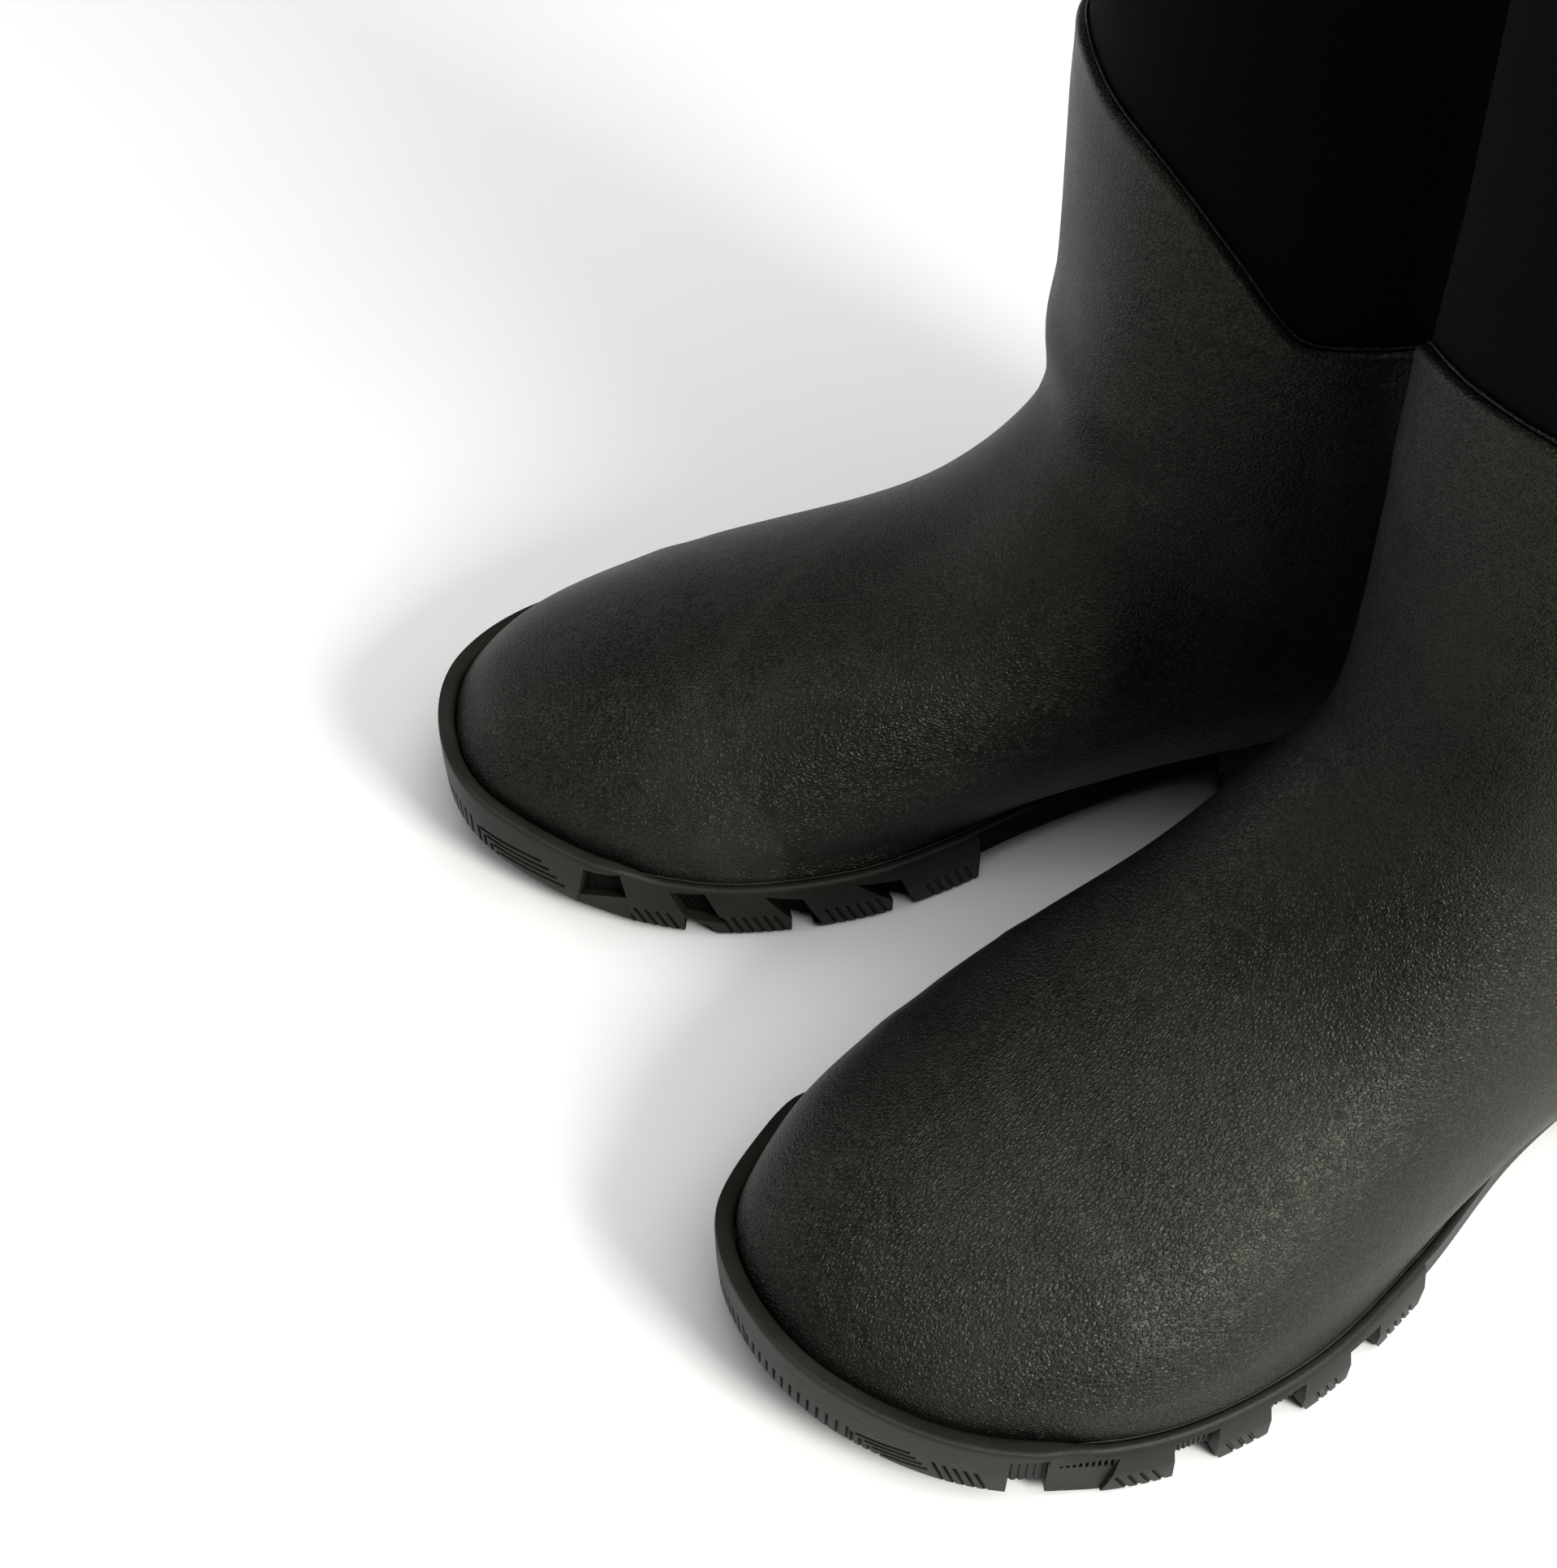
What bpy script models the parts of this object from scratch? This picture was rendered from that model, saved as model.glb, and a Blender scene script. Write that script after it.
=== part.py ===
"""A pair of tall rubber and neoprene wellington boots, standing side by side with the toes turned out a little.

Each boot is worked out in its own frame, in millimetres: x runs from the back of the heel to the toe, y is
outwards (lateral) on the left boot and z is up from the ground. The right boot is the left one mirrored. The
layers of the upper (rubber, neoprene, stiffeners, lining) all come from one surface, evaluated at a depth
below the outer skin, so they nest inside each other with an even gap.
"""

import math

import bmesh
import bpy
import numpy as np
from mathutils import Matrix

MM = 0.001
GAP = 0.4  # clearance between pieces that touch on the real boot

# Placement of the pair
TOE_OUT_DEG = 11.8  # each boot's heading, away from -Y
HEEL_SPREAD = 81.0  # between the two heel backs, along X
HEEL_STAGGER = 23.0  # how much further back the left boot stands
PAIR_CENTRE = (0.0, -147.85)  # centre of the pair's box before it is moved over the origin

# Outsole: a cup with a rim, and the tread under it
SOLE_OUTLINE = (
    (0, 0), (9, 25), (38, 36), (78, 36), (118, 41), (158, 54), (196, 62), (236, 59), (272, 43), (294, 18),
    (300, -8), (293, -32), (270, -50), (250, -58), (225, -62.5), (195, -61), (172, -54.5), (150, -45.5), (125, -38),
    (105, -34), (70, -33), (30, -33), (6, -20),
)  # closed, seen from above: the heel is at x = 0, the lateral side at +y
SOLE_LENGTH = 300.0
RIM_HEIGHT = (
    (0, 31), (40, 28), (80, 24.5), (112, 21), (150, 17.5), (190, 15.8), (228, 15.6), (252, 18), (275, 23), (300, 31),
)
SPRING_START, TOE_SPRING = 225.0, 15.5  # the tread curves up from here to the toe
BUMPER_START, BUMPER_FULL, BUMPER_RISE = 246.0, 258.0, 2.5  # the rim is taller round the toe
CUP_WALL, CUP_DEPTH, CUP_FLOOR = 3.6, 7.0, 2.0
SEAT_GAP = 1.0  # between the cup's wall and the upper
SOLE_TAPER = 0.8  # the foot of the cup, in from its rim
TREAD_TAPER = 0.6
SIDE_LUGS = {1: ((232, 259), (207, 222), (181, 199), (148, 174)), -1: ((246, 263), (220, 236), (195, 211), (160, 186))}
HEEL_LUGS = ((36, 52), (58, 72), (78, 92))
HEEL_BREAST, HEEL_LUG_HEIGHT = 94.0, 6.0
TOE_BLOCK_START, HEEL_BLOCK_END = 268.0, 30.0
CENTRE_LUGS = (244, 218, 192, 166)  # where each bar down the middle of the forefoot starts
CENTRE_LUG_SIZE = (12.0, 26.0)
LUG_REACH, LUG_BITE = 24.0, 1.2  # how far a side lug runs in from the edge, and up into the cup

# Upper: the front line runs from the toe over the instep to the cuff, the back line from the heel to the cuff
FRONT_LINE = (
    (295.4, 29.5), (294.8, 33), (291.5, 37.5), (284, 43), (271, 48.5), (254, 54), (235, 58.5), (212, 64), (192, 71),
    (177, 78), (166, 87), (156, 98), (149, 109), (145.5, 121), (144, 136), (144, 160), (145, 195), (145, 235),
    (147, 295), (150, 395),
)
BACK_LINE = (
    (4.6, 30.7), (3, 40), (4, 54), (8, 72), (15, 92), (22, 112), (27, 132), (30, 150), (31, 175), (30, 210),
    (28, 260), (24, 320), (19, 395),
)
PIVOT = (200.0, 142.0)  # sections are upright in front of it, level above it, and fan out between
LATERAL_LEG = ((0, 50), (20, 49), (38, 46.5), (60, 48), (90, 52.5))  # half width against the fan plane's angle
MEDIAL_LEG = ((0, 52.5), (20, 52.5), (38, 52), (60, 51.5), (90, 52.5))
SHAFT_HALF_WIDTH = ((140, 52.5), (200, 53.5), (290, 54.5), (395, 55))
RIDGE = ((110, 0), (140, -4), (165, -8), (200, -11), (250, -14), (275, -12), (300, -8))  # y of the ridge
# A section's superellipse, against its station: its x ahead of the pivot, 200 less its fan angle behind it
LATERAL_WIDEST = ((110, 0.5), (140, 0.4), (165, 0.3), (200, 0.12), (300, 0.12))
LATERAL_POWER = ((110, 2.15), (165, 2.3), (200, 2.0), (300, 1.9))
MEDIAL_WIDEST = ((110, 0.5), (160, 0.42), (200, 0.35), (228, 0.2), (300, 0.2))
MEDIAL_POWER = ((110, 2.35), (160, 2.8), (200, 2.9), (212, 2.6), (230, 2.05), (300, 2.0))
SIDE_BULGE = ((140, 1.025), (225, 1.025), (255, 1.0), (300, 1.0))  # widest half width over that at the base
TOPLINE = (
    (0, 213), (20, 210.5), (38, 206.5), (50, 200), (63.5, 187.5), (74, 175), (79.5, 169.5), (86, 167), (108, 164.8),
    (125, 164), (150, 164), (190, 164),
)  # height of the rubber's top edge against the angle round the leg
TOPLINE_TURN = 8.0  # the topline's high point, this many degrees to the lateral side
FLEX_LOW_DEG, FLEX_TOP = 75.0, 152.0  # the ankle zone lies between a fanned section and a level one
FLEX_GAP_DEG = 0.4
SHAFT_TOP = 386.0

# Layers of the upper: depth of the outer and the inner face below the skin
RUBBER = (0.0, 2.4)
NEOPRENE = (3.1, 7.2)
STIFFENER = (7.7, 8.9)
LINING = (9.4, 10.4)
SOCK_DROP = 3.8  # how far the upper reaches down inside the outsole's cup
LAST_INSET = 18.5  # boards and footbed, in from the outsole's edge

BACK_COLUMNS, FRONT_COLUMNS = 3, 5  # points of a section on each side, behind and ahead of its widest place
COLUMNS = 2 * (BACK_COLUMNS + FRONT_COLUMNS) + 1
TOE_ROWS = (0.0, 0.02, 0.07, 0.16, 0.3, 0.5, 0.75)
WAIST_ROWS = (0.0, 0.16, 0.32, 0.48, 0.64, 0.78, 0.9, 0.97, 1.0)
HEEL_ROWS = (0.35, 0.7, 1.0)
SHAFT_ROWS = (0.0, 0.1, 0.26, 0.5, 0.75, 1.0)
SOLE_STEPS = 22

# Small pieces
TRIM_HEIGHT, TRIM_DEPTH = 2.6, (-0.2, 1.6)
BINDING_SKIRT, BINDING_THICKNESS = 12.0, 1.2
TAPE_WIDTH, TAPE_DEPTH = 14.0, (1.1, 1.9)
TAB_WIDTH, TAB_DEPTH, TAB_SPAN = 24.0, (-2.6, 0.2), (340.0, 400.0)
SHANK_SPAN, SHANK_WIDTH, SHANK_THICKNESS = (55.0, 160.0), 14.0, 1.0
BOARD_THICKNESS, FOOTBED_THICKNESS = 1.8, 4.0

MATERIALS = {
    "overlay_rubber": ((0.020, 0.020, 0.019), 0.48, 0.0),
    "outsole_rubber": ((0.026, 0.027, 0.022), 0.55, 0.0),
    "neoprene": ((0.006, 0.006, 0.006), 0.92, 0.0),
    "lining_fabric": ((0.030, 0.030, 0.032), 0.95, 0.0),
    "stiffener": ((0.15, 0.15, 0.14), 0.7, 0.0),
    "eva_foam": ((0.09, 0.09, 0.09), 0.85, 0.0),
    "board": ((0.22, 0.17, 0.12), 0.85, 0.0),
    "steel": ((0.45, 0.45, 0.46), 0.35, 1.0),
    "webbing": ((0.010, 0.010, 0.010), 0.85, 0.0),
}


# Curves


def smooth_curve(points, closed=False, steps=10):
    """Catmull-Rom curve through the points, as an array."""
    points = np.array(points, float)
    if closed:
        padded = np.vstack([points[-1], points, points[:2]])
    else:
        padded = np.vstack([2 * points[0] - points[1], points, 2 * points[-1] - points[-2]])
    rows = []
    for before, start, end, after in zip(padded, padded[1:], padded[2:], padded[3:]):
        for t in np.arange(steps) / steps:
            square = 2 * before - 5 * start + 4 * end - after
            cube = 3 * start - before - 3 * end + after
            rows.append(start + 0.5 * ((end - before) * t + square * t**2 + cube * t**3))
    if not closed:
        rows.append(points[-1])
    return np.array(rows)


def offset_curve(curve, distance, closed=False):
    """The curve moved to its left by the distance."""
    if closed:
        tangent = np.roll(curve, -1, 0) - np.roll(curve, 1, 0)
    else:
        tangent = np.gradient(curve, axis=0)
    tangent /= np.linalg.norm(tangent, axis=1)[:, None]
    return curve + distance * np.c_[-tangent[:, 1], tangent[:, 0]]


def at(table, value):
    """Value at a place, from a table of (place, value) rows, smoothed between its rows."""
    if table not in at.curves:
        at.curves[table] = smooth_curve(table).T
    place, height = at.curves[table]
    return float(np.interp(value, place, height))


at.curves = {}


def cosine_steps(count):
    return (1 - np.cos(np.linspace(0, math.pi, count + 1))) / 2


class Outline:
    """The sole's outline moved in by an inset, read as the y of its two sides at an x."""

    def __init__(self, inset):
        curve = offset_curve(smooth_curve(SOLE_OUTLINE, closed=True), -inset, closed=True)
        curve = np.roll(curve, -int(np.argmin(curve[:, 0])), 0)
        tip = int(np.argmax(curve[:, 0]))
        self.sides = {1: curve[: tip + 1], -1: np.vstack([curve[tip:], curve[:1]])[::-1]}
        self.back, self.tip = curve[0, 0], curve[tip, 0]

    def y(self, x, side):
        place, height = self.sides[side].T
        return float(np.interp(x, np.maximum.accumulate(place), height))


def rim(x):
    return at(RIM_HEIGHT, x)


def bumper(x):
    part = np.clip((x - BUMPER_START) / (BUMPER_FULL - BUMPER_START), 0, 1)
    return rim(x) + BUMPER_RISE * part * part * (3 - 2 * part)


def tread_top(x):
    return rim(x) - CUP_DEPTH - CUP_FLOOR


def ground(x):
    return TOE_SPRING * max(0.0, (x - SPRING_START) / (SOLE_LENGTH - SPRING_START)) ** 2


# The upper's surface


class Skin:
    """The upper's surface at one depth below its outer skin, in rows of points from side to side."""

    def __init__(self, depth):
        self.depth = depth
        self.base = Outline(CUP_WALL + SEAT_GAP + depth)
        self.front = offset_curve(smooth_curve(FRONT_LINE), depth)
        self.back = offset_curve(smooth_curve(BACK_LINE), -depth)
        self.heel_angle = self.angle(self.base.back)

    @staticmethod
    def angle(x):
        """Angle of the fan plane that meets the rim at x."""
        return math.degrees(math.atan2(PIVOT[0] - x, PIVOT[1] - rim(x)))

    @staticmethod
    def crossing(curve, angle):
        """Where the fan plane at this angle meets a curve that runs past the pivot."""
        angles = np.degrees(np.arctan2(PIVOT[0] - curve[:, 0], PIVOT[1] - curve[:, 1]))
        angles = np.maximum.accumulate(angles)
        return np.array([np.interp(angle, angles, curve[:, k]) for k in (0, 1)])

    @staticmethod
    def section(low, high, half, base, centre, station):
        """Points over one plane, from the lateral end over the front to the medial end.

        low and high are (x, z) of the base and of the front. half and base are the lateral and the medial
        half width, at the widest place and at the base.
        """
        lines = []
        shapes = ((LATERAL_WIDEST, LATERAL_POWER), (MEDIAL_WIDEST, MEDIAL_POWER))
        for side, width, foot, tables in zip((1, -1), half, base, shapes):
            widest, power = (at(table, station) for table in tables)
            start = math.acos(min(1.0, foot / width))
            line = []
            for k in range(BACK_COLUMNS):
                turn = start * (1 - k / BACK_COLUMNS)
                fall = math.sin(turn) / math.sin(start) if start > 0.001 else 1 - k / BACK_COLUMNS
                line.append((widest * (1 - fall), width * math.cos(turn)))
            for k in range(FRONT_COLUMNS + 1):
                turn = math.pi / 2 * k / FRONT_COLUMNS
                rise = widest + (1 - widest) * math.sin(turn) ** (2 / power)
                line.append((rise, width * abs(math.cos(turn)) ** (2 / power) * (k < FRONT_COLUMNS)))
            ends = [low + (high - low) * along for along, _ in line]
            lines.append([(x, centre + side * out, z) for (x, z), (_, out) in zip(ends, line)])
        return lines[0] + lines[1][-2::-1]

    def upright(self, part):
        """Section ahead of the pivot: part 0 is the toe tip and 1 the pivot's plane."""
        x = self.base.tip + (PIVOT[0] - self.base.tip) * part
        place, height = self.front[::-1].T
        low, top = rim(x), float(np.interp(x, np.maximum.accumulate(place), height))
        if part == 0:
            return [(x, at(RIDGE, x), low)] * COLUMNS
        centre = at(RIDGE, x)
        base = [side * (self.base.y(x, side) - centre) for side in (1, -1)]
        half = [width * at(SIDE_BULGE, x) for width in base]
        return self.section(np.array([x, low]), np.array([x, top]), half, base, centre, x)

    def fanned(self, angle, base_x=None):
        """Section in the fan; base_x is where it meets the rim, if it does."""
        station = PIVOT[0] - angle
        centre, base = at(RIDGE, station), (0.0, 0.0)
        low = self.crossing(self.back, angle)
        if base_x is not None:
            low = np.array([base_x, rim(base_x)])
            base = [max(0.0, side * (self.base.y(base_x, side) - centre)) for side in (1, -1)]
        half = []
        for side, leg, width in zip((1, -1), (LATERAL_LEG, MEDIAL_LEG), base):
            reach = at(leg, angle) - self.depth - side * centre
            half.append(max(reach, width * SIDE_BULGE[0][1]))
        high = self.crossing(self.front, angle)
        return self.section(low, high, half, base, centre, station)

    def ring(self, height):
        """Level section of the shaft."""
        back = np.interp(height, self.back[:, 1], self.back[:, 0])
        front = np.interp(height, np.maximum.accumulate(self.front[:, 1]), self.front[:, 0])
        half = at(SHAFT_HALF_WIDTH, height) - self.depth
        low, high = np.array([back, height]), np.array([front, height])
        return self.section(low, high, (half, half), (0.0, 0.0), 0.0, PIVOT[0] - 90)

    def shaft_rows(self, low, high, parts=(0.0, 1.0)):
        """Rows between two heights; each may be one number or a list with one for each column."""
        low, high = np.broadcast_to(low, COLUMNS), np.broadcast_to(high, COLUMNS)
        return [[self.ring(a + (b - a) * part)[k] for k, (a, b) in enumerate(zip(low, high))] for part in parts]

    def foot_rows(self):
        """Rows from the toe to the ankle zone. The first OPEN_ROWS end on the rim, with a skirt into the cup."""
        rows = [self.upright(part) for part in TOE_ROWS]
        for part in WAIST_ROWS:
            x = PIVOT[0] + (self.base.back - PIVOT[0]) * part
            rows.append(self.fanned(self.angle(x), x))
        for part in HEEL_ROWS:
            rows.append(self.fanned(self.heel_angle + (FLEX_LOW_DEG - self.heel_angle) * part))
        skirted = []
        for row in rows:
            ends = [(x, y, rim(x) - SOCK_DROP) for x, y, _ in (row[0], row[-1])]
            skirted.append([ends[0], *row, ends[1]])
        return skirted

    def ankle_rows(self):
        low = FLEX_LOW_DEG + FLEX_GAP_DEG
        return [self.fanned(low), self.fanned((low + 90) / 2), *self.shaft_rows(PIVOT[1], FLEX_TOP)]


OPEN_ROWS = len(TOE_ROWS) + len(WAIST_ROWS)


def topline(row):
    """Height of the rubber's top edge over each point of a level ring."""
    xs, ys = np.array(row)[:, 0], np.array(row)[:, 1]
    middle = (xs.max() + xs.min()) / 2
    angles = np.degrees(np.arctan2(ys, xs - middle))
    return [at(TOPLINE, abs(angle - TOPLINE_TURN)) for angle in angles]


# Meshes, as lists of faces whose corners are points in millimetres


def weld(faces):
    """Corner list and index faces, with equal corners made one and collapsed faces dropped."""
    corners, index, result = [], {}, []
    for face in faces:
        ids = []
        for point in face:
            key = tuple(round(float(value), 4) for value in point)
            if key not in index:
                index[key] = len(corners)
                corners.append(key)
            if index[key] not in ids:
                ids.append(index[key])
        if len(ids) > 2:
            result.append(ids)
    return corners, result


def shell(outer, inner, used=lambda row, column: True):
    """Closed shell between two grids of points with the same topology; used picks the cells to keep."""
    cells = [(i, j) for i in range(len(outer) - 1) for j in range(len(outer[0]) - 1) if used(i, j)]
    around = ((0, 0), (0, 1), (1, 1), (1, 0))
    faces, edges = [], {}
    for i, j in cells:
        for grid, order in ((outer, around), (inner, around[::-1])):
            faces.append([grid[i + a][j + b] for a, b in order])
        corners = [(i + a, j + b) for a, b in around]
        for start, end in zip(corners, corners[1:] + corners[:1]):
            ends = [tuple(np.round(outer[a][b], 4)) for a, b in (start, end)]
            edges.setdefault(frozenset(ends), []).append((start, end))
    for key, uses in edges.items():
        if len(key) == 2 and len(uses) == 1:
            (a, b), (c, d) = uses[0]
            faces.append([outer[c][d], outer[a][b], inner[a][b], inner[c][d]])
    return faces


def ladder(x_from, x_to, inset_low, inset_high, low, high, sides=None, steps=SOLE_STEPS):
    """Closed slab under or over the sole's outline, between two heights that may vary along x.

    The slab has the outline inset_low at its foot and inset_high at its top. sides, if given, are functions
    of (x, inset) for its two edges in place of the outline's.
    """
    parts = cosine_steps(steps)
    grids = []
    for inset, height in ((inset_low, low), (inset_high, high)):
        outline = Outline(inset)
        start, end = max(x_from, outline.back), min(x_to, outline.tip)
        rows = []
        for x in start + (end - start) * parts:
            ys = [outline.y(x, 1), outline.y(x, -1)] if sides is None else sides(x, outline)
            rows.append([(x, y, height(x)) for y in ys])
        grids.append(rows)
    return shell(grids[1], grids[0])


def swept_ring(profile):
    """Closed ring round the shaft with a profile of (depth, height) corners."""
    rows = [Skin(depth).ring(height) for depth, height in profile]
    rows.append(rows[0])
    return [[rows[i][j], rows[i][j + 1], rows[i + 1][j + 1], rows[i + 1][j]]
            for i in range(len(rows) - 1) for j in range(COLUMNS - 1)]


def back_strip(depths, width, low, high, steps):
    """Strip that follows the back of the shaft, between two depths and two heights."""
    grids = []
    for depth in depths:
        skin = Skin(depth)
        rows = []
        for height in np.linspace(low, high, steps + 1):
            ring = np.array(skin.ring(height))
            reach = (ring[:, 0].max() - ring[:, 0].min()) / 2
            half = ring[:, 1].max()
            back = ring[:, 0].min()
            ys = np.linspace(-width / 2, width / 2, 5)
            rows.append([(back + reach * (1 - math.sqrt(1 - (y / half) ** 2)), y, height) for y in ys])
        grids.append(rows)
    return shell(*grids)


# Objects


def material(name):
    found = bpy.data.materials.get(name)
    if found:
        return found
    colour, roughness, metallic = MATERIALS[name]
    made = bpy.data.materials.new(name)
    made.use_nodes = True
    shader = made.node_tree.nodes["Principled BSDF"]
    shader.inputs["Base Color"].default_value = (*colour, 1)
    shader.inputs["Roughness"].default_value = roughness
    shader.inputs["Metallic"].default_value = metallic
    return made


def add_object(name, faces, slot, frame, helper=False):
    """Object from faces in a boot's own frame, placed by the boot's matrix; faces are turned outwards."""
    corners, ids = weld(faces)
    mesh = bpy.data.meshes.new(name)
    mesh.from_pydata([[value * MM for value in corner] for corner in corners], [], ids)
    work = bmesh.new()
    work.from_mesh(mesh)
    bmesh.ops.transform(work, matrix=frame["mirror"], verts=work.verts)
    bmesh.ops.recalc_face_normals(work, faces=work.faces)
    bmesh.ops.triangulate(work, faces=work.faces)
    work.to_mesh(mesh)
    work.free()
    mesh.shade_smooth()
    mesh.set_sharp_from_angle(angle=math.radians(35))
    made = bpy.data.objects.new(name, mesh)
    bpy.context.scene.collection.objects.link(made)
    mesh.materials.append(material(slot))
    made.parent = frame["empty"]
    made.hide_render = helper
    made.display_type = "WIRE" if helper else "TEXTURED"
    return made


def join_solid(target, others, operation, name):
    """Boolean of the target with each helper object in turn."""
    for other in others:
        change = target.modifiers.new(name, "BOOLEAN")
        change.operation = operation
        change.object = other
        change.solver = "EXACT"


def tread_blocks():
    """The lugs under the cup, each as the faces of a closed block."""
    top = lambda x: tread_top(x) + LUG_BITE
    heel_foot = lambda x: HEEL_LUG_HEIGHT
    heel_top = lambda x: HEEL_LUG_HEIGHT + LUG_BITE
    blocks = [
        ladder(TOE_BLOCK_START, SOLE_LENGTH, TREAD_TAPER, SOLE_TAPER, ground, top, steps=8),
        ladder(0.0, HEEL_BREAST, TREAD_TAPER, SOLE_TAPER, heel_foot, top, steps=10),
        ladder(0.0, HEEL_BLOCK_END, TREAD_TAPER, TREAD_TAPER, ground, heel_top, steps=8),
    ]
    for side in (1, -1):
        edges = lambda x, outline, side=side: [outline.y(x, side), outline.y(x, side) - side * LUG_REACH]
        for start, end in SIDE_LUGS[side]:
            blocks.append(ladder(start, end, TREAD_TAPER, SOLE_TAPER, ground, top, sides=edges, steps=2))
        for start, end in HEEL_LUGS:
            blocks.append(ladder(start, end, TREAD_TAPER, TREAD_TAPER, ground, heel_top, sides=edges, steps=2))
    length, width = CENTRE_LUG_SIZE
    for start in CENTRE_LUGS:
        edges = lambda x, outline: [at(RIDGE, x) + width / 2, at(RIDGE, x) - width / 2]
        blocks.append(ladder(start, start + length, 0.0, 0.0, ground, top, sides=edges, steps=2))
    return blocks


def outsole_cup():
    """The cup: its outside, its rim, its inner wall and its floor, closed along the whole outline."""
    rings = (
        (Outline(SOLE_TAPER), tread_top),
        (Outline(0.0), bumper),
        (Outline(CUP_WALL), bumper),
        (Outline(CUP_WALL), lambda x: rim(x) - CUP_DEPTH),
    )
    parts = cosine_steps(SOLE_STEPS)
    grids = []
    for outline, height in rings:
        xs = outline.back + (outline.tip - outline.back) * parts
        grids.append([[(x, outline.y(x, side), height(x)) for side in (1, -1)] for x in xs])
    faces = []
    for grid in (grids[0], grids[-1]):
        faces += [[grid[i][0], grid[i][1], grid[i + 1][1], grid[i + 1][0]] for i in range(SOLE_STEPS)]
    for low, high in zip(grids, grids[1:]):
        for side in (0, 1):
            faces += [[low[i][side], low[i + 1][side], high[i + 1][side], high[i][side]] for i in range(SOLE_STEPS)]
    return faces


def make_sole(side, frame):
    outsole = add_object(f"{side}_outsole", outsole_cup(), "outsole_rubber", frame)
    lugs = [add_object(f"{side}_lug_{k}", faces, "outsole_rubber", frame, True) for k, faces in enumerate(tread_blocks())]
    join_solid(outsole, lugs, "UNION", "Lug")

    cup_floor = lambda x: rim(x) - CUP_DEPTH + GAP
    sock_foot = lambda x: rim(x) - SOCK_DROP
    midsole_top = lambda x: sock_foot(x) - GAP
    inset = CUP_WALL + GAP
    midsole = add_object(
        f"{side}_midsole", ladder(0, SOLE_LENGTH, inset, inset, cup_floor, midsole_top), "eva_foam", frame
    )
    half = SHANK_WIDTH / 2
    shank_edges = lambda x, outline: [half, -half]
    shank_foot = lambda x: midsole_top(x) - SHANK_THICKNESS - GAP
    shank = ladder(*SHANK_SPAN, 0, 0, shank_foot, lambda x: shank_foot(x) + SHANK_THICKNESS, shank_edges, 8)
    add_object(f"{side}_shank", shank, "steel", frame)
    slot_edges = lambda x, outline: [half + GAP, -half - GAP]
    slot_span = (SHANK_SPAN[0] - GAP, SHANK_SPAN[1] + GAP)
    slot = ladder(*slot_span, 0, 0, lambda x: shank_foot(x) - GAP, rim, slot_edges, 8)
    join_solid(midsole, [add_object(f"{side}_slot", slot, "eva_foam", frame, True)], "DIFFERENCE", "Shank slot")

    board_top = lambda x: sock_foot(x) + BOARD_THICKNESS
    board = ladder(0, SOLE_LENGTH, LAST_INSET, LAST_INSET, sock_foot, board_top)
    add_object(f"{side}_insole_board", board, "board", frame)
    bed_foot = lambda x: board_top(x) + GAP
    bed = ladder(0, SOLE_LENGTH, LAST_INSET, LAST_INSET, bed_foot, lambda x: bed_foot(x) + FOOTBED_THICKNESS)
    add_object(f"{side}_footbed", bed, "eva_foam", frame)


def make_upper(side, frame):
    skins = {depth: Skin(depth) for layer in (RUBBER, NEOPRENE, STIFFENER, LINING) for depth in layer}
    foot = {depth: skin.foot_rows() for depth, skin in skins.items()}
    shaft_foot = FLEX_TOP + GAP
    last = COLUMNS + 1

    def with_skirt(row, column):
        return 0 < column < last - 1 or row < OPEN_ROWS - 1

    for name, layer, slot in (
        ("rubber", RUBBER, "overlay_rubber"),
        ("neoprene", NEOPRENE, "neoprene"),
        ("lining", LINING, "lining_fabric"),
    ):
        outer, inner = (skins[depth] for depth in layer)
        add_object(f"{side}_{name}_foot", shell(foot[layer[0]], foot[layer[1]], with_skirt), slot, frame)
        add_object(f"{side}_{name}_ankle", shell(outer.ankle_rows(), inner.ankle_rows()), slot, frame)
        if name == "rubber":
            top = topline(outer.ring(shaft_foot))
            rows = [skin.shaft_rows(shaft_foot, top, (0.0, 0.4, 1.0)) for skin in (outer, inner)]
        else:
            rows = [skin.shaft_rows(shaft_foot, SHAFT_TOP, SHAFT_ROWS) for skin in (outer, inner)]
        add_object(f"{side}_{name}_shaft", shell(*rows), slot, frame)

    outer, inner = (foot[depth] for depth in STIFFENER)
    toe_end = len(TOE_ROWS) - 2
    toe_puff = shell(outer, inner, lambda row, column: row < toe_end and 0 < column < last - 1)
    add_object(f"{side}_toe_puff", toe_puff, "stiffener", frame)
    heel_start = len(TOE_ROWS) + 4

    def round_heel(row, column):
        return row >= heel_start and min(column, last - 1 - column) in (1, 2, 3)

    add_object(f"{side}_heel_counter", shell(outer, inner, round_heel), "stiffener", frame)

    edge = np.array(topline(skins[0.0].ring(shaft_foot))) + GAP
    trim = [Skin(depth).shaft_rows(edge, edge + TRIM_HEIGHT) for depth in TRIM_DEPTH]
    add_object(f"{side}_topline_trim", shell(*trim), "overlay_rubber", frame)


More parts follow.
